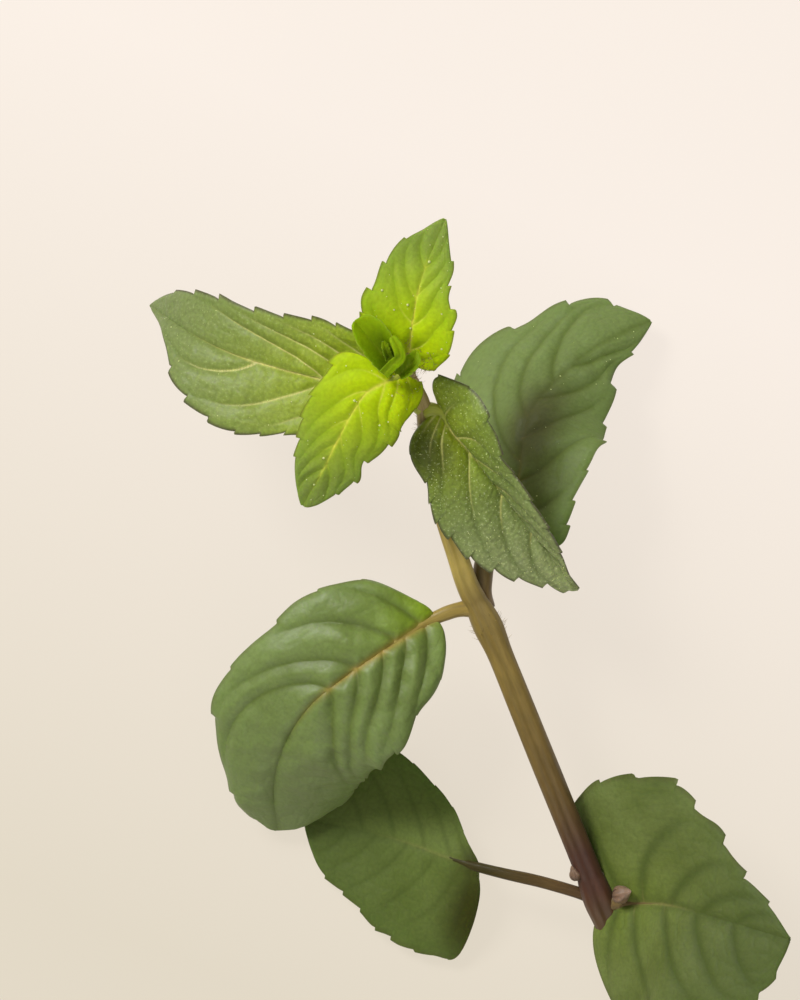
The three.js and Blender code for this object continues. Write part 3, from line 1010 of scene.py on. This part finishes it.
darkFinish = {
    "name": "mint leaf stalk, dark",
    "specular": 0.15,
    "stops": [(0, "#4c3726"), (5, "#594628"), (12, "#3a3416"), (30, "#3c3e18")],
}
paleFinish = {
    "name": "mint leaf stalk, pale",
    "specular": 0.5,
    "stops": [(0, "#8a7434"), (8, "#93823a"), (20, "#948c3e")],
}
greenFinish = {
    "name": "mint leaf stalk, young",
    "specular": 0.5,
    "stops": [(0, "#a0a63c"), (8, "#9aae34"), (20, "#a0b440")],
}

glandSkin = glandMaterial()
hairSkin = hairMaterial()
lowestLeaf = leafMaterial(lowestFinish)
matureLeaf = leafMaterial(matureFinish)
middleLeaf = leafMaterial(middleFinish)
shadedLeaf = leafMaterial(shadedFinish)
grownLeaf = leafMaterial(upperFinish)
foldedLeaf = leafMaterial(foldedFinish)
youngLeaf = leafMaterial(youngFinish)
budLeaf = leafMaterial(budFinish)
stemSkin = barkMaterial(stemFinish)
brownStalk = barkMaterial(brownFinish)
darkStalk = barkMaterial(darkFinish)
paleStalk = barkMaterial(paleFinish)
greenStalk = barkMaterial(greenFinish)
print("materials ready")

# What a leaf's dictionary says: places, widths and depths in millimetres, angles in degrees, and the
# rest as shares of the way from base to tip. A pair is for the left half and the right half, as seen
# from the stalk. Beside the values below, each leaf has
#   midrib, stalk: points of their lines; half: widest reach of each half of the flat blade
#   round, taper: how blunt the base is and how drawn out the tip; lobe: how far the base hangs back
#   slope: how steeply a half rises from the midrib, from base to tip
#   teeth: where their points stand; veins: where each leaves the midrib and meets the edge
common = {
    "trim": [[1], [1]],  # width against the plain outline, from base to tip
    "toothDepth": [0.5, 0.5],
    "curl": [[0], [0]],  # bend of each half between midrib and edge
    "thickness": 0.32,
    "channel": 0.2,  # depth of the channel that the midrib lies in
    "ribReach": 0.86,  # how far the midrib stands out under the blade
    "wave": 0.22,  # rippling of the edge
    "veinBow": 1.3,  # how strongly side veins bend forward
    "quilt": 0.3,  # height of the bulges between the veins
    "fade": 0,  # how much of the quilting is lost towards the tip
    "furrowWidth": 0.3,
    "netSize": 1.6,  # width of the cells of the fine net
    "pebble": 0.05,  # height of those cells
    "ribWidth": 0.13,
    "paleRib": 0.5,  # how far from the base the midrib shows pale
    "paleVein": 0.1,  # the same for the side veins
    "baseTintAndPaintedLight": 0.8,  # strength of the colour round the base: the young tint of new tissue, painted light on the oldest leaf and painted shade in the bud
    "baseTintAndPaintedLightReach": 6,
    "baseTintAndPaintedLightSides": [1, 1],
    "paintedShades": [],  # patches of painted shade where shadow falls: across, along, half width, half length, strength
    "glands": 120,
    "glandSize": 0.06,
    "hairs": 0,
}

# The lowest pair, D: old, dark and hanging down to the surface

lowerLeftLeaf = {
    **common,
    "name": "lower_left_leaf",
    "node": "leaf_d_left",
    "slot": "mature_leaf",
    "midrib": [
        [1.3, -21.4, 5.2],
        [-2, -20.4, 4.2],
        [-6.5, -18.9, 2.5],
        [-12.1, -17.6, 1],
        [-16.8, -16.8, 0.25],
    ],
    "stalk": [[13.7, -24.6, 6], [11.6, -23.9, 6.1], [7.7, -22.8, 5.9], [4, -22, 5.6]],
    "stalkRadius": 0.62,
    "half": [11.3, 9],
    "round": [0.33, 0.8],
    "taper": [0.7, 0.7],
    "slope": [[-22, -4, 0], [-20, -4, 0]],
    "lobe": [2, 0],
    "teeth": [[0.25, 0.36, 0.47, 0.59, 0.71, 0.83], [0.25, 0.37, 0.5, 0.62, 0.74, 0.85]],
    "seed": 11,
    "baseTintAndPaintedLight": 1.0,
    "trim": [
        [0.3, 1.05, 1, 0.95, 0.9, 0.9, 0.85, 0.85, 0.9, 1, 0.9],
        [0.45, 0.55, 0.7, 0.75, 0.8, 0.9, 1, 1.05, 1, 1, 1],
    ],
    "toothDepth": [0.3, 0.3],
    "veins": [
        [[0.02, 0.2], [0.1, 0.38], [0.24, 0.56], [0.42, 0.74], [0.6, 0.88], [0.76, 0.96]],
        [[0.04, 0.26], [0.16, 0.46], [0.32, 0.64], [0.5, 0.8], [0.68, 0.92]],
    ],
    "glands": 0,
    "quilt": 0.06,
    # the colour round the base spreads over the upper half as painted light, lifting it out of the shade of
    # the leaf above
    "baseTintAndPaintedLightReach": 14,
    "baseTintAndPaintedLightSides": [0.2, 0.6],
    # painted shade over the base, where the blade turns down away from the light, and round the stalk
    "paintedShades": [[-5.2, -0.8, 6.5, 3.4, 0.96], [0.4, -0.2, 2.8, 2.6, 0.9]],
}
growLeaf(lowerLeftLeaf, lowestLeaf, darkStalk)

lowerRightLeaf = {
    **common,
    "name": "lower_right_leaf",
    "node": "leaf_d_right",
    "slot": "mature_leaf",
    "midrib": [[15.8, -25, 7], [20.4, -24.7, 10.6], [25.3, -25.6, 15], [32.3, -27.2, 21]],
    "stalk": [[13.9, -24.7, 6], [14.8, -24.9, 6.5]],
    "stalkRadius": 0.84,
    "half": [12, 13.5],
    "round": [0.35, 0.4],
    "taper": [1.25, 0.75],
    "slope": [[8, 0], [25, 5]],
    "curl": [[0, 0], [-30, -10]],
    "lobe": [6, 4.6],
    "teeth": [[0.19, 0.25, 0.3, 0.37, 0.53, 0.68, 0.83], [0.3, 0.45, 0.6, 0.78, 0.9, 0.96]],
    "seed": 21,
    "baseTintAndPaintedLight": 0.5,
    "trim": [
        [1, 0.95, 1.1, 1.1, 0.95, 0.95, 0.85, 0.85, 0.9, 1.1, 1.4],
        [0.1, 0.6, 1, 1, 1, 1, 1, 1.1, 1.15, 1.35, 1.5],
    ],
    "veins": [
        [[0.03, 0.16], [0.15, 0.42], [0.31, 0.66], [0.5, 0.84], [0.7, 0.94]],
        [[0.02, 0.16], [0.1, 0.38], [0.27, 0.72], [0.46, 0.88], [0.68, 0.96]],
    ],
    "paleRib": 0.3,
    "glands": 0,
    "quilt": 0.12,
    "furrowWidth": 0.6,
}
growLeaf(lowerRightLeaf, matureLeaf, brownStalk)

# The middle pair, C

middleLeftLeaf = {
    **common,
    "name": "middle_left_leaf",
    "node": "leaf_c_left",
    "slot": "mature_leaf",
    "midrib": [
        [-3.3, 4.9, 13.6],
        [-7.3, 2.4, 15.2],
        [-11.7, -0.6, 15.4],
        [-15.8, -3.9, 14.2],
        [-18.5, -7.9, 11.5],
        [-19.9, -12.7, 7],
        [-19.7, -17.6, 2],
    ],
    "stalk": [[1, 5.9, 12.8], [-1.2, 5.6, 13.3]],
    "stalkRadius": 0.75,
    "half": [10.8, 9],
    "round": [0.5, 0.5],
    "taper": [0.45, 0.7],
    "slope": [[0, 0], [5, 0]],
    "curl": [[-15, -15], [-15, -25]],
    "lobe": [0.5, 0.5],
    "teeth": [[0.09, 0.21, 0.34, 0.5, 0.65, 0.82, 0.93], [0.13, 0.24, 0.37, 0.52, 0.64, 0.85, 0.95]],
    "toothDepth": [0.35, 0.3],
    "seed": 31,
    "quilt": 0.58,
    "baseTintAndPaintedLight": 1.0,
    "trim": [
        [0.8, 0.9, 0.85, 0.95, 0.9, 0.9, 0.85, 0.9, 0.95, 1.1, 1.15],
        [0.5, 1, 1.05, 1.05, 0.95, 1, 1.05, 0.95, 0.85, 0.95, 0.95],
    ],
    "veins": [
        [[0.04, 0.24], [0.11, 0.43], [0.19, 0.6], [0.28, 0.74], [0.38, 0.86]],
        [[0.05, 0.2], [0.14, 0.44], [0.28, 0.66], [0.38, 0.8]],
    ],
    "paleRib": 0.42,
    "glands": 0,
    "ribWidth": 0.42,
    "veinBow": 1.6,
    "fade": 0.25,
    "furrowWidth": 0.45,
    "baseTintAndPaintedLightSides": [0.25, 1],
    "baseTintAndPaintedLightReach": 5.5,
}
growLeaf(middleLeftLeaf, middleLeaf, paleStalk)

middleRightLeaf = {
    **common,
    "name": "middle_right_leaf",
    "node": "leaf_c_right",
    "slot": "mature_leaf",
    "midrib": [
        [3.8, 13.3, 11.2],
        [5.5, 19.5, 9.8],
        [5.9, 23.6, 9],
        [7, 26.6, 8.2],
        [10, 29.8, 6.6],
        [14.1, 33.0, 5],
        [19.4, 35.5, 2.6],
    ],
    "stalk": [[1.4, 5.9, 12.4], [1.6, 8.5, 12], [2, 10.8, 11.7]],
    "stalkRadius": 1.05,
    "half": [12, 8.8],
    "round": [0.36, 0.3],
    "taper": [0.8, 0.8],
    "slope": [[-45, -42, -30], [25, 10]],
    "lobe": [0, 1.5],
    "teeth": [[0.3, 0.48, 0.65, 0.81, 0.92], [0.11, 0.18, 0.25, 0.41, 0.56, 0.72, 0.87]],
    "seed": 41,
    "quilt": 0.32,
    "baseTintAndPaintedLight": 0.3,
    "trim": [
        [0.9, 0.9, 0.85, 0.85, 0.9, 1, 1.05, 1, 1.1, 1.3, 1.2],
        [1.1, 0.85, 0.75, 0.9, 1, 1, 0.95, 0.85, 0.6, 0.7, 0.6],
    ],
    "veins": [
        [[0, 0.22], [0.12, 0.5], [0.26, 0.8], [0.42, 0.92], [0.58, 0.96]],
        [[0.06, 0.26], [0.19, 0.46], [0.34, 0.72], [0.5, 0.86], [0.67, 0.95]],
    ],
    "paleRib": 0.15,
    "glands": 40,
    "ribReach": 0.35,
    "furrowWidth": 0.4,
    # painted shadow of the leaves above, falling across the middle of the blade
    "paintedShades": [[0.9, 11.5, 2.8, 6, 0.75], [1.5, 5, 3, 5, 0.5]],
}
growLeaf(middleRightLeaf, shadedLeaf, brownStalk)

# The upper pair, B: the right one is folded up along its midrib

upperLeftLeaf = {
    **common,
    "name": "upper_left_leaf",
    "node": "leaf_b_left",
    "slot": "upper_leaf",
    "midrib": [
        [-6.3, 27.1, 20.6],
        [-10.3, 28, 21.3],
        [-16.4, 29.4, 21],
        [-22.9, 31.3, 20],
        [-27, 33.2, 18],
        [-30.5, 35.5, 14],
        [-32.3, 36.8, 10.5],
    ],
    "stalk": [[-4.4, 26.1, 20], [-5.4, 26.6, 20.3]],
    "stalkRadius": 0.65,
    "half": [7.3, 5.5],
    "round": [0.5, 0.5],
    "taper": [1, 0.75],
    "slope": [[2, 2], [15, 5]],
    "lobe": [0, 0],
    "teeth": [[0.33, 0.4, 0.47, 0.55, 0.63, 0.72], [0.16, 0.25, 0.33, 0.42, 0.52, 0.66, 0.77, 0.88]],
    "seed": 51,
    "baseTintAndPaintedLightReach": 12.5,
    "trim": [
        [1, 1, 0.85, 0.8, 0.95, 1.1, 1.1, 1, 0.65, 0.45, 0.55],
        [1.3, 1.3, 1.2, 1.15, 1.05, 1, 1, 1.05, 1.05, 1.05, 1.15],
    ],
    "veins": [
        [[0, 0.28], [0.1, 0.46], [0.25, 0.69], [0.48, 0.88]],
        [[0, 0.2], [0.02, 0.36], [0.08, 0.5], [0.15, 0.66], [0.26, 0.84]],
    ],
    "paleRib": 0.62,
    "paleVein": 0.8,
    "curl": [[0, 0], [20, 25]],
    "baseTintAndPaintedLight": 1.0,
}
growLeaf(upperLeftLeaf, grownLeaf, greenStalk)

upperRightLeaf = {
    **common,
    "name": "upper_right_leaf",
    "node": "leaf_b_right",
    "slot": "upper_leaf",
    "midrib": [
        [-2.8, 25.9, 20.5],
        [-1.6, 23.7, 20.3],
        [0.2, 21.7, 19.7],
        [3.8, 17.2, 18.5],
        [7.5, 12.6, 17],
        [11.3, 7.9, 15],
    ],
    "stalk": [[-4.3, 25.7, 19.9], [-3.6, 25.9, 20.3]],
    "stalkRadius": 0.65,
    "half": [7.4, 6.9],
    "round": [0.42, 0.5],
    "taper": [1, 0.7],
    "slope": [[36, 62, 74, 76], [25, 5]],
    "curl": [[-10, -5], [-55, -30]],
    "lobe": [5, 0.3],
    "teeth": [
        [0.07, 0.15, 0.22, 0.29, 0.37, 0.5, 0.64, 0.78],
        [0.2, 0.28, 0.37, 0.46, 0.58, 0.69, 0.79, 0.89, 0.97],
    ],
    "seed": 61,
    "quilt": 0.26,
    "baseTintAndPaintedLightReach": 6.5,
    "trim": [
        [0.05, 0.4, 0.7, 0.55, 0.6, 0.7, 0.75, 0.75, 0.6, 0.65, 1],
        [1.3, 1.05, 0.9, 1, 1.05, 1.05, 1.05, 1, 0.95, 0.8, 0.8],
    ],
    "veins": [
        [[0.04, 0.2], [0.14, 0.38], [0.26, 0.55], [0.4, 0.72], [0.56, 0.86], [0.74, 0.95]],
        [[0, 0.12], [0.02, 0.28], [0.06, 0.42], [0.22, 0.8], [0.45, 0.93], [0.66, 0.98]],
    ],
    "paleVein": 0.5,
    "pebble": 0.06,
    "glands": 700,
    "netSize": 0.8,
    "glandSize": 0.05,
    "baseTintAndPaintedLightSides": [0.5, 1],
    # painted shade inside the cup at the base
    "paintedShades": [[3.2, 2.8, 2.8, 3, 0.85]],
}
growLeaf(upperRightLeaf, foldedLeaf, greenStalk)

# The youngest open pair, A

youngUpperLeaf = {
    **common,
    "name": "young_upper_leaf",
    "node": "leaf_a_upper",
    "slot": "young_leaf",
    "midrib": [[-6, 30.6, 24.4], [-5.7, 33.3, 26.6], [-4.8, 38.3, 28], [-2.4, 44.6, 26.5]],
    "stalk": [[-5.9, 28.4, 23], [-5.8, 29.6, 23.7]],
    "stalkRadius": 0.5,
    "half": [5, 3.9],
    "round": [0.5, 0.5],
    "taper": [0.8, 0.8],
    "slope": [[-5, 5], [10, 0]],
    "curl": [[10, 0], [0, 0]],
    "lobe": [0.2, 1.5],
    "teeth": [[0.2, 0.31, 0.45, 0.6, 0.77], [0.06, 0.19, 0.29, 0.43, 0.58, 0.75]],
    "toothDepth": [0.4, 0.4],
    "seed": 71,
    "quilt": 0.24,
    "netSize": 1.1,
    "thickness": 0.28,
    "baseTintAndPaintedLightReach": 7,
    "trim": [
        [1.1, 1.1, 1.1, 1.05, 1.05, 0.9, 0.9, 0.9, 0.85, 0.75, 0.8],
        [1.25, 1.05, 1.15, 1.05, 1.05, 0.8, 0.8, 0.85, 0.75, 0.65, 0.6],
    ],
    "veins": [
        [[0, 0.26], [0.02, 0.52], [0.3, 0.74], [0.46, 0.84], [0.66, 0.94]],
        [[0.02, 0.24], [0.1, 0.5], [0.28, 0.7], [0.48, 0.84], [0.66, 0.94]],
    ],
    "paleRib": 0.62,
    "paleVein": 0.45,
    "pebble": 0.02,
    "hairs": 160,
    "glandSize": 0.11,
    "glands": 38,
    # painted shade at the base, in the cleft beside the bud
    "paintedShades": [[0.4, 1.4, 0.9, 2.2, 0.6]],
    "ribReach": 0.78,
}
growLeaf(youngUpperLeaf, youngLeaf, greenStalk)

youngLowerLeaf = {
    **common,
    "name": "young_lower_leaf",
    "node": "leaf_a_lower",
    "slot": "young_leaf",
    "midrib": [
        [-6.4, 29.4, 25.4],
        [-8.3, 28.5, 26.3],
        [-10.2, 27.4, 26.2],
        [-12.8, 23.2, 24.4],
        [-14.6, 19.7, 22],
        [-16.5, 16.5, 18.6],
    ],
    "stalk": [[-5.9, 28.4, 23.4], [-6.1, 29, 24.6]],
    "stalkRadius": 0.5,
    "half": [5.4, 4.7],
    "round": [0.3, 0.6],
    "taper": [0.75, 0.9],
    "slope": [[0, 0], [0, 0]],
    "curl": [[-20, -20], [-10, -10]],
    "lobe": [2.6, 0.3],
    "teeth": [[0.13, 0.28, 0.42, 0.57, 0.71, 0.82], [0.25, 0.38, 0.51, 0.62, 0.73]],
    "toothDepth": [0.4, 0.4],
    "seed": 81,
    "quilt": 0.26,
    "netSize": 1.1,
    "thickness": 0.28,
    "baseTintAndPaintedLightReach": 7,
    "trim": [
        [0.35, 0.65, 0.85, 0.95, 0.95, 0.9, 0.75, 0.95, 0.85, 0.9, 1.2],
        [0.4, 0.4, 1.1, 0.95, 0.95, 0.95, 0.9, 0.9, 0.95, 1, 1.1],
    ],
    "veins": [
        [[0, 0.22], [0.04, 0.46], [0.12, 0.62], [0.3, 0.76], [0.5, 0.86], [0.68, 0.95]],
        [[0, 0.14], [0.11, 0.34], [0.22, 0.7], [0.4, 0.82], [0.56, 0.92], [0.72, 0.97]],
    ],
    "paleRib": 0.75,
    "paleVein": 0.45,
    "pebble": 0.02,
    "hairs": 60,
    "glandSize": 0.1,
    "glands": 40,
    # painted shadow of the bud on the base of the blade
    "paintedShades": [[-1.4, -0.5, 0.9, 1.6, 0.6]],
}
growLeaf(youngLowerLeaf, youngLeaf, greenStalk)

# The leaves still packed round the growing point

packed = {
    **common,
    "slot": "bud_leaf",
    "round": [0.6, 0.6],
    "taper": [0.8, 0.8],
    "curl": [[20, 10], [20, 10]],
    "lobe": [0, 0],
    "teeth": [[0.35, 0.55, 0.75], [0.4, 0.6, 0.8]],
    "toothDepth": [0.15, 0.15],
    "veins": [[[0, 0.3], [0.12, 0.55], [0.35, 0.8]], [[0, 0.3], [0.12, 0.55], [0.35, 0.8]]],
    "quilt": 0.1,
    "netSize": 0.7,
    "pebble": 0.02,
    "paleRib": 0.7,
    "paleVein": 0.3,
    "glands": 0,
    "wave": 0.08,
    "channel": 0.12,
    "thickness": 0.24,
    # the dark colour round the base of each bud leaf is painted shade
    "baseTintAndPaintedLight": 0.5,
    "baseTintAndPaintedLightReach": 2.5,
}
budLeaves = [
    {
        "name": "bud_left_leaf",
        "node": "bud_leaf_left",
        "midrib": [[-7.3, 29.7, 26], [-8.6, 31.3, 26.9], [-10.1, 33.1, 27.6], [-11.3, 34.5, 28]],
        "half": [1.5, 2.2],
        "round": [0.3, 0.3],
        "taper": [0.45, 0.25],
        "slope": [[20, 15], [38, 18]],
        "trim": [[1], [0.3, 1, 1]],
        "curl": [[20, 10], [10, 0]],
        # painted shade, deep inside the bud
        "baseTintAndPaintedLight": 0.8,
        "baseTintAndPaintedLightReach": 3.5,
        # painted shade in the hollow of the bud
        "paintedShades": [[0.8, 3.2, 1.1, 1.8, 0.7]],
        "seed": 91,
    },
    {
        "name": "bud_back_leaf",
        "node": "bud_leaf_back",
        "midrib": [[-7.9, 30.9, 27.4], [-8.2, 31.7, 28.1], [-8.5, 32.5, 28.4]],
        "half": [0.4, 0.4],
        "slope": [[30, 20], [30, 20]],
        "seed": 93,
    },
    {
        "name": "bud_middle_leaf",
        "node": "bud_leaf_middle",
        "midrib": [
            [-8.4, 29.3, 27.6],
            [-7.6, 30.1, 28.5],
            [-6.8, 30.9, 29.2],
            [-7, 31.8, 29.5],
            [-7.6, 32.9, 29.4],
        ],
        "half": [0.55, 0.55],
        "round": [0.3, 0.3],
        "taper": [0.3, 0.3],
        "slope": [[12, 12], [12, 12]],
        "curl": [[0], [0]],
        "toothDepth": [0, 0],
        "baseTintAndPaintedLight": 0.1,
        "seed": 95,
    },
    {
        "name": "bud_right_leaf",
        "node": "bud_leaf_right",
        "midrib": [[-6.9, 29.2, 27.1], [-6.2, 29.9, 27.6], [-5.5, 30.7, 27.8], [-5.2, 31.6, 27.8]],
        "half": [0.95, 0.95],
        "slope": [[25, 15], [25, 15]],
        "seed": 97,
    },
]
for leaf in budLeaves:
    growLeaf({**packed, **leaf}, budLeaf, greenStalk, columns=36, rows=64)

# The main stem, square with rounded ridges and a shallow channel down each side. Its nodes, where the
# leaf pairs stand, and its hairs are given as shares of its length from the cut.

mainStem = {
    "name": "stem",
    "line": [
        [21.1, -44.1, 1.35],
        [13.9, -24.7, 6],
        [7.9, -9.9, 10],
        [2.8, 2.6, 12.5],
        [1.4, 5.6, 12.9],
        [0.2, 7.9, 13.3],
        [-1, 11.3, 14.2],
        [-2.8, 16.9, 16.5],
        [-4.4, 26.1, 20],
        [-5.8, 28.9, 23.8],
        [-6.3, 29.8, 25.3],
    ],
    "nodes": [0.255, 0.63, 0.89],
    "radius": 1.42,
    "tipRadius": 0.75,
    "squareness": 0.085,
    "swelling": 0.3,
    "swellingLength": 2.2,
    "waist": 0.06,
    "waistPast": 2.6,
    "waistLength": 0.5,
    "ribDepth": 0.07,
    "rings": 420,
    "sides": 72,
    "cutRings": 8,
    "hairsAt": [0.63, 0.89, 0.985],
    "hairCounts": [30, 60, 90],
}


def stemRadius(along, turn):
    length = stemCurve["total"]
    part = along / length
    radius = mainStem["radius"] + (mainStem["tipRadius"] - mainStem["radius"]) * smoothstep(0.5, 1, part)
    for node in mainStem["nodes"]:
        away = along - node * length
        radius = radius + mainStem["swelling"] * np.exp(-((away / mainStem["swellingLength"]) ** 2))
        past = (away - mainStem["waistPast"]) / mainStem["waistLength"]
        radius = radius - mainStem["waist"] * np.exp(-(past ** 2))
    corners = 1 - mainStem["squareness"] * np.cos(4 * turn) - 0.02 * np.cos(8 * turn)
    ribs = (softNoise(turn * 5.5 + 40, along / 9, 5) - 0.5) * mainStem["ribDepth"]
    dome = np.minimum(1, 0.45 + (1 - part) * 25)
    worn = 1 - 0.05 * np.exp(-along / 0.25)  # the cut's rim is slightly rounded
    return (radius * corners + ribs) * dome * worn


def stemShape(share, turn):
    ring = share * mainStem["rings"]
    cutRings = mainStem["cutRings"]
    along = np.clip((ring - cutRings) / (mainStem["rings"] - cutRings), 0, 1) * stemCurve["total"]
    face = np.clip(ring / cutRings, 0, 1)
    return along, stemRadius(along, turn) * face


stemCurve = smoothCurve(mainStem["line"])
stem = addTube(mainStem["name"], stemCurve, mainStem["rings"], mainStem["sides"], stemShape)
stem.data.materials.append(stemSkin)
stemWay = framesAt(stemCurve, np.zeros(1))[0][0]
pastCut = (cornersOf(stem) - stemCurve["line"][0] * mm) @ stemWay
writeAttribute(stem, "cut", (pastCut < 0.02 * mm).astype(float))

# Hairs stand where the leaf pairs join and crowd round the growing tip
chance = np.random.default_rng(7)
centres = np.repeat(np.array(mainStem["hairsAt"]) * stemCurve["total"], mainStem["hairCounts"])
scattered = centres + chance.normal(0, 0.8, len(centres))
hairsAlong = np.minimum(scattered, stemCurve["total"] - 0.2)
hairTurns = chance.random(len(centres)) * 2 * math.pi
forward, right, up = framesAt(stemCurve, hairsAlong)
outward = right * np.cos(hairTurns)[:, None] + up * np.sin(hairTurns)[:, None]
hairRoots = pointsAt(stemCurve, hairsAlong) + outward * stemRadius(hairsAlong, hairTurns)[:, None]
lean = outward + 0.5 * forward + 0.6 * (chance.random(outward.shape) - 0.5)
joinInto(stem, [growHairs(hairRoots * mm, lean, 0.3 + 0.5 * chance.random(len(lean)))])
finishPiece(stem, "main_stem")
print("stem: ", len(stem.data.polygons), "faces")

# Small closed buds in the angles between the lowest stalks and the stem: scales that overlap

sideBuds = [
    {
        "name": "lower_left_side_bud",
        "node": "axillary_bud_d_left",
        "base": [11.5, -22.4, 7.5],
        "towards": [-0.35, 0.85, 0.4],
        "length": 1.7,
        "width": 0.6,
        "scales": 6,
    },
    {
        "name": "lower_right_side_bud",
        "node": "axillary_bud_d_right",
        "base": [15.5, -24, 8.4],
        "towards": [0.6, 0.25, 0.75],
        "length": 2.5,
        "width": 0.95,
        "scales": 6,
    },
]
sideBudFinish = {
    "name": "mint bud scale",
    "specular": 0.5,
    "stops": [(0, "#57402e"), (0.8, "#785f4c"), (2.5, "#927763")],
}
budSkin = barkMaterial(sideBudFinish)
scaleTurn = 2.2  # each scale stands this far round from the one below it, radians
scaleThickness = 0.09


def growScale(bud, k):
    deselectAll()
    bpy.ops.mesh.primitive_grid_add(x_subdivisions=14, y_subdivisions=18, size=2)
    piece = bpy.context.object
    grid = cornersOf(piece)
    way = (grid[:, 1] + 1) / 2
    turn = scaleTurn * k + grid[:, 0] * (0.85 + 0.75 * (1 - way ** 3))
    radius = bud["width"] * (1 - 0.1 * k) * np.sin(np.pi * (0.15 + 0.835 * way)) ** 0.7
    radius = radius * (1 + 0.05 * np.cos(grid[:, 0] * 9))
    aim = np.array(bud["towards"]) / np.linalg.norm(bud["towards"])
    first = np.cross(aim, [0, 0, 1])
    first /= np.linalg.norm(first)
    second = np.cross(aim, first)
    rise = bud["length"] * (0.7 + 0.06 * k) * way
    places = np.array(bud["base"]) + rise[:, None] * aim
    places = places + (radius * np.cos(turn))[:, None] * first + (radius * np.sin(turn))[:, None] * second
    moveCorners(piece, places * mm)
    writeAttribute(piece, "along", rise)
    writeAttribute(piece, "turn", turn)
    choose(piece)
    solidify = piece.modifiers.new("thickness", "SOLIDIFY")
    solidify.thickness = scaleThickness * mm
    solidify.offset = 0
    bpy.ops.object.modifier_apply(modifier="thickness")
    bpy.ops.object.mode_set(mode="EDIT")
    bpy.ops.mesh.select_all(action="SELECT")
    bpy.ops.mesh.normals_make_consistent(inside=False)
    bpy.ops.object.mode_set(mode="OBJECT")
    bpy.ops.object.shade_smooth_by_angle(angle=math.radians(50))
    piece.data.materials.append(budSkin)
    return piece


for bud in sideBuds:
    scales = [growScale(bud, k) for k in range(bud["scales"])]
    piece = joinInto(scales[0], scales[1:])
    piece.name = piece.data.name = bud["name"]
    finishPiece(piece, bud["node"])
print("side buds ready")

# Surface, light and camera

paperFinish = {
    "name": "pale matt paper",
    "base": "#504d49",
    # the glow is painted light, from its shady end to its bright end
    "shadyGlow": "#d6cdbb",
    "brightGlow": "#eee4db",
    "glowWay": (0.45, 1, 0),
    "glowFrom": -45,
    "glowTo": 50,
}


# Uncoated paper, pressed and left matt: hardly any gloss. It glows with painted light that softens the
# shadows cast on it, and the glow is painted brighter along one way, as if light fell off across the paper.
def paperMaterial(finish):
    material, tree = startMaterial(finish["name"])
    place = addNode(tree, "ShaderNodeTexCoord").outputs["Object"]
    way = addNode(
        tree,
        "ShaderNodeVectorMath",
        {"operation": "DOT_PRODUCT", 1: finish["glowWay"]},
        {0: place},
    )
    share = addNode(
        tree,
        "ShaderNodeMapRange",
        {"From Min": finish["glowFrom"] * mm, "From Max": finish["glowTo"] * mm},
        {"Value": way.outputs["Value"]},
    )
    shadyGlow = toLinear(finish["shadyGlow"])
    brightGlow = toLinear(finish["brightGlow"])
    glow = addNode(
        tree,
        "ShaderNodeMix",
        {"data_type": "RGBA", mixLow: shadyGlow, mixHigh: brightGlow},
        {mixFactor: share.outputs["Result"]},
    )
    surface = addNode(
        tree,
        "ShaderNodeBsdfPrincipled",
        {
            "Base Color": toLinear(finish["base"]),
            "Roughness": 0.9,
            "Specular IOR Level": 0.2,
            "Emission Strength": 1.0,
        },
        {"Emission Color": glow.outputs[mixResult]},
    )
    addNode(tree, "ShaderNodeOutputMaterial", {}, {"Surface": surface.outputs["BSDF"]})
    return material


deselectAll()
bpy.ops.mesh.primitive_plane_add(size=3)
floor = bpy.context.object
floor.name = "floor"
floor.data.materials.append(paperMaterial(paperFinish))

low, high = Vector(cadBox[0]), Vector(cadBox[1])
centre = (low + high) / 2
# Square soft boxes, placed from the sprig's middle in metres and turned towards it
lights = [
    {"name": "key_light", "from": (-0.226, 0.24, 0.313), "size": 0.15, "watts": 1.95, "colour": "#fffdf9"},
    {"name": "fill_light", "from": (0, -0.6, 0.35), "size": 0.5, "watts": 1.3, "colour": "#fffaf2"},
    {"name": "top_light", "from": (0, 0.2, 1), "size": 1.4, "watts": 2.6, "colour": "#fffdfa"},
]
for settings in lights:
    deselectAll()
    place = centre + Vector(settings["from"])
    bpy.ops.object.light_add(type="AREA", location=place)
    light = bpy.context.object
    light.name = settings["name"]
    light.data.size = settings["size"]
    light.data.energy = settings["watts"]
    light.data.color = toLinear(settings["colour"])[:3]
    light.rotation_euler = (centre - place).to_track_quat("-Z", "Y").to_euler()

world = bpy.data.worlds.new("room")
scene.world = world
world.use_nodes = True
world.node_tree.nodes["Background"].inputs["Color"].default_value = toLinear("#fbf6ee")
world.node_tree.nodes["Background"].inputs["Strength"].default_value = 0.22
scene.view_settings.view_transform = "Standard"

# The camera looks straight down, from over a place given as shares of the sprig's box
view = {"acrossShare": 0.395, "alongShare": 0.689, "height": 0.42, "lens": 143.3, "sensor": 36}
deselectAll()
eye = (
    low.x + view["acrossShare"] * (high.x - low.x),
    low.y + view["alongShare"] * (high.y - low.y),
    view["height"],
)
bpy.ops.object.camera_add(location=eye, rotation=(0, 0, 0))
camera = bpy.context.object
camera.name = "camera"
camera.data.sensor_width = view["sensor"]
camera.data.lens = view["lens"]
camera.data.clip_start = 0.01
scene.camera = camera
print("stage, light and camera ready")
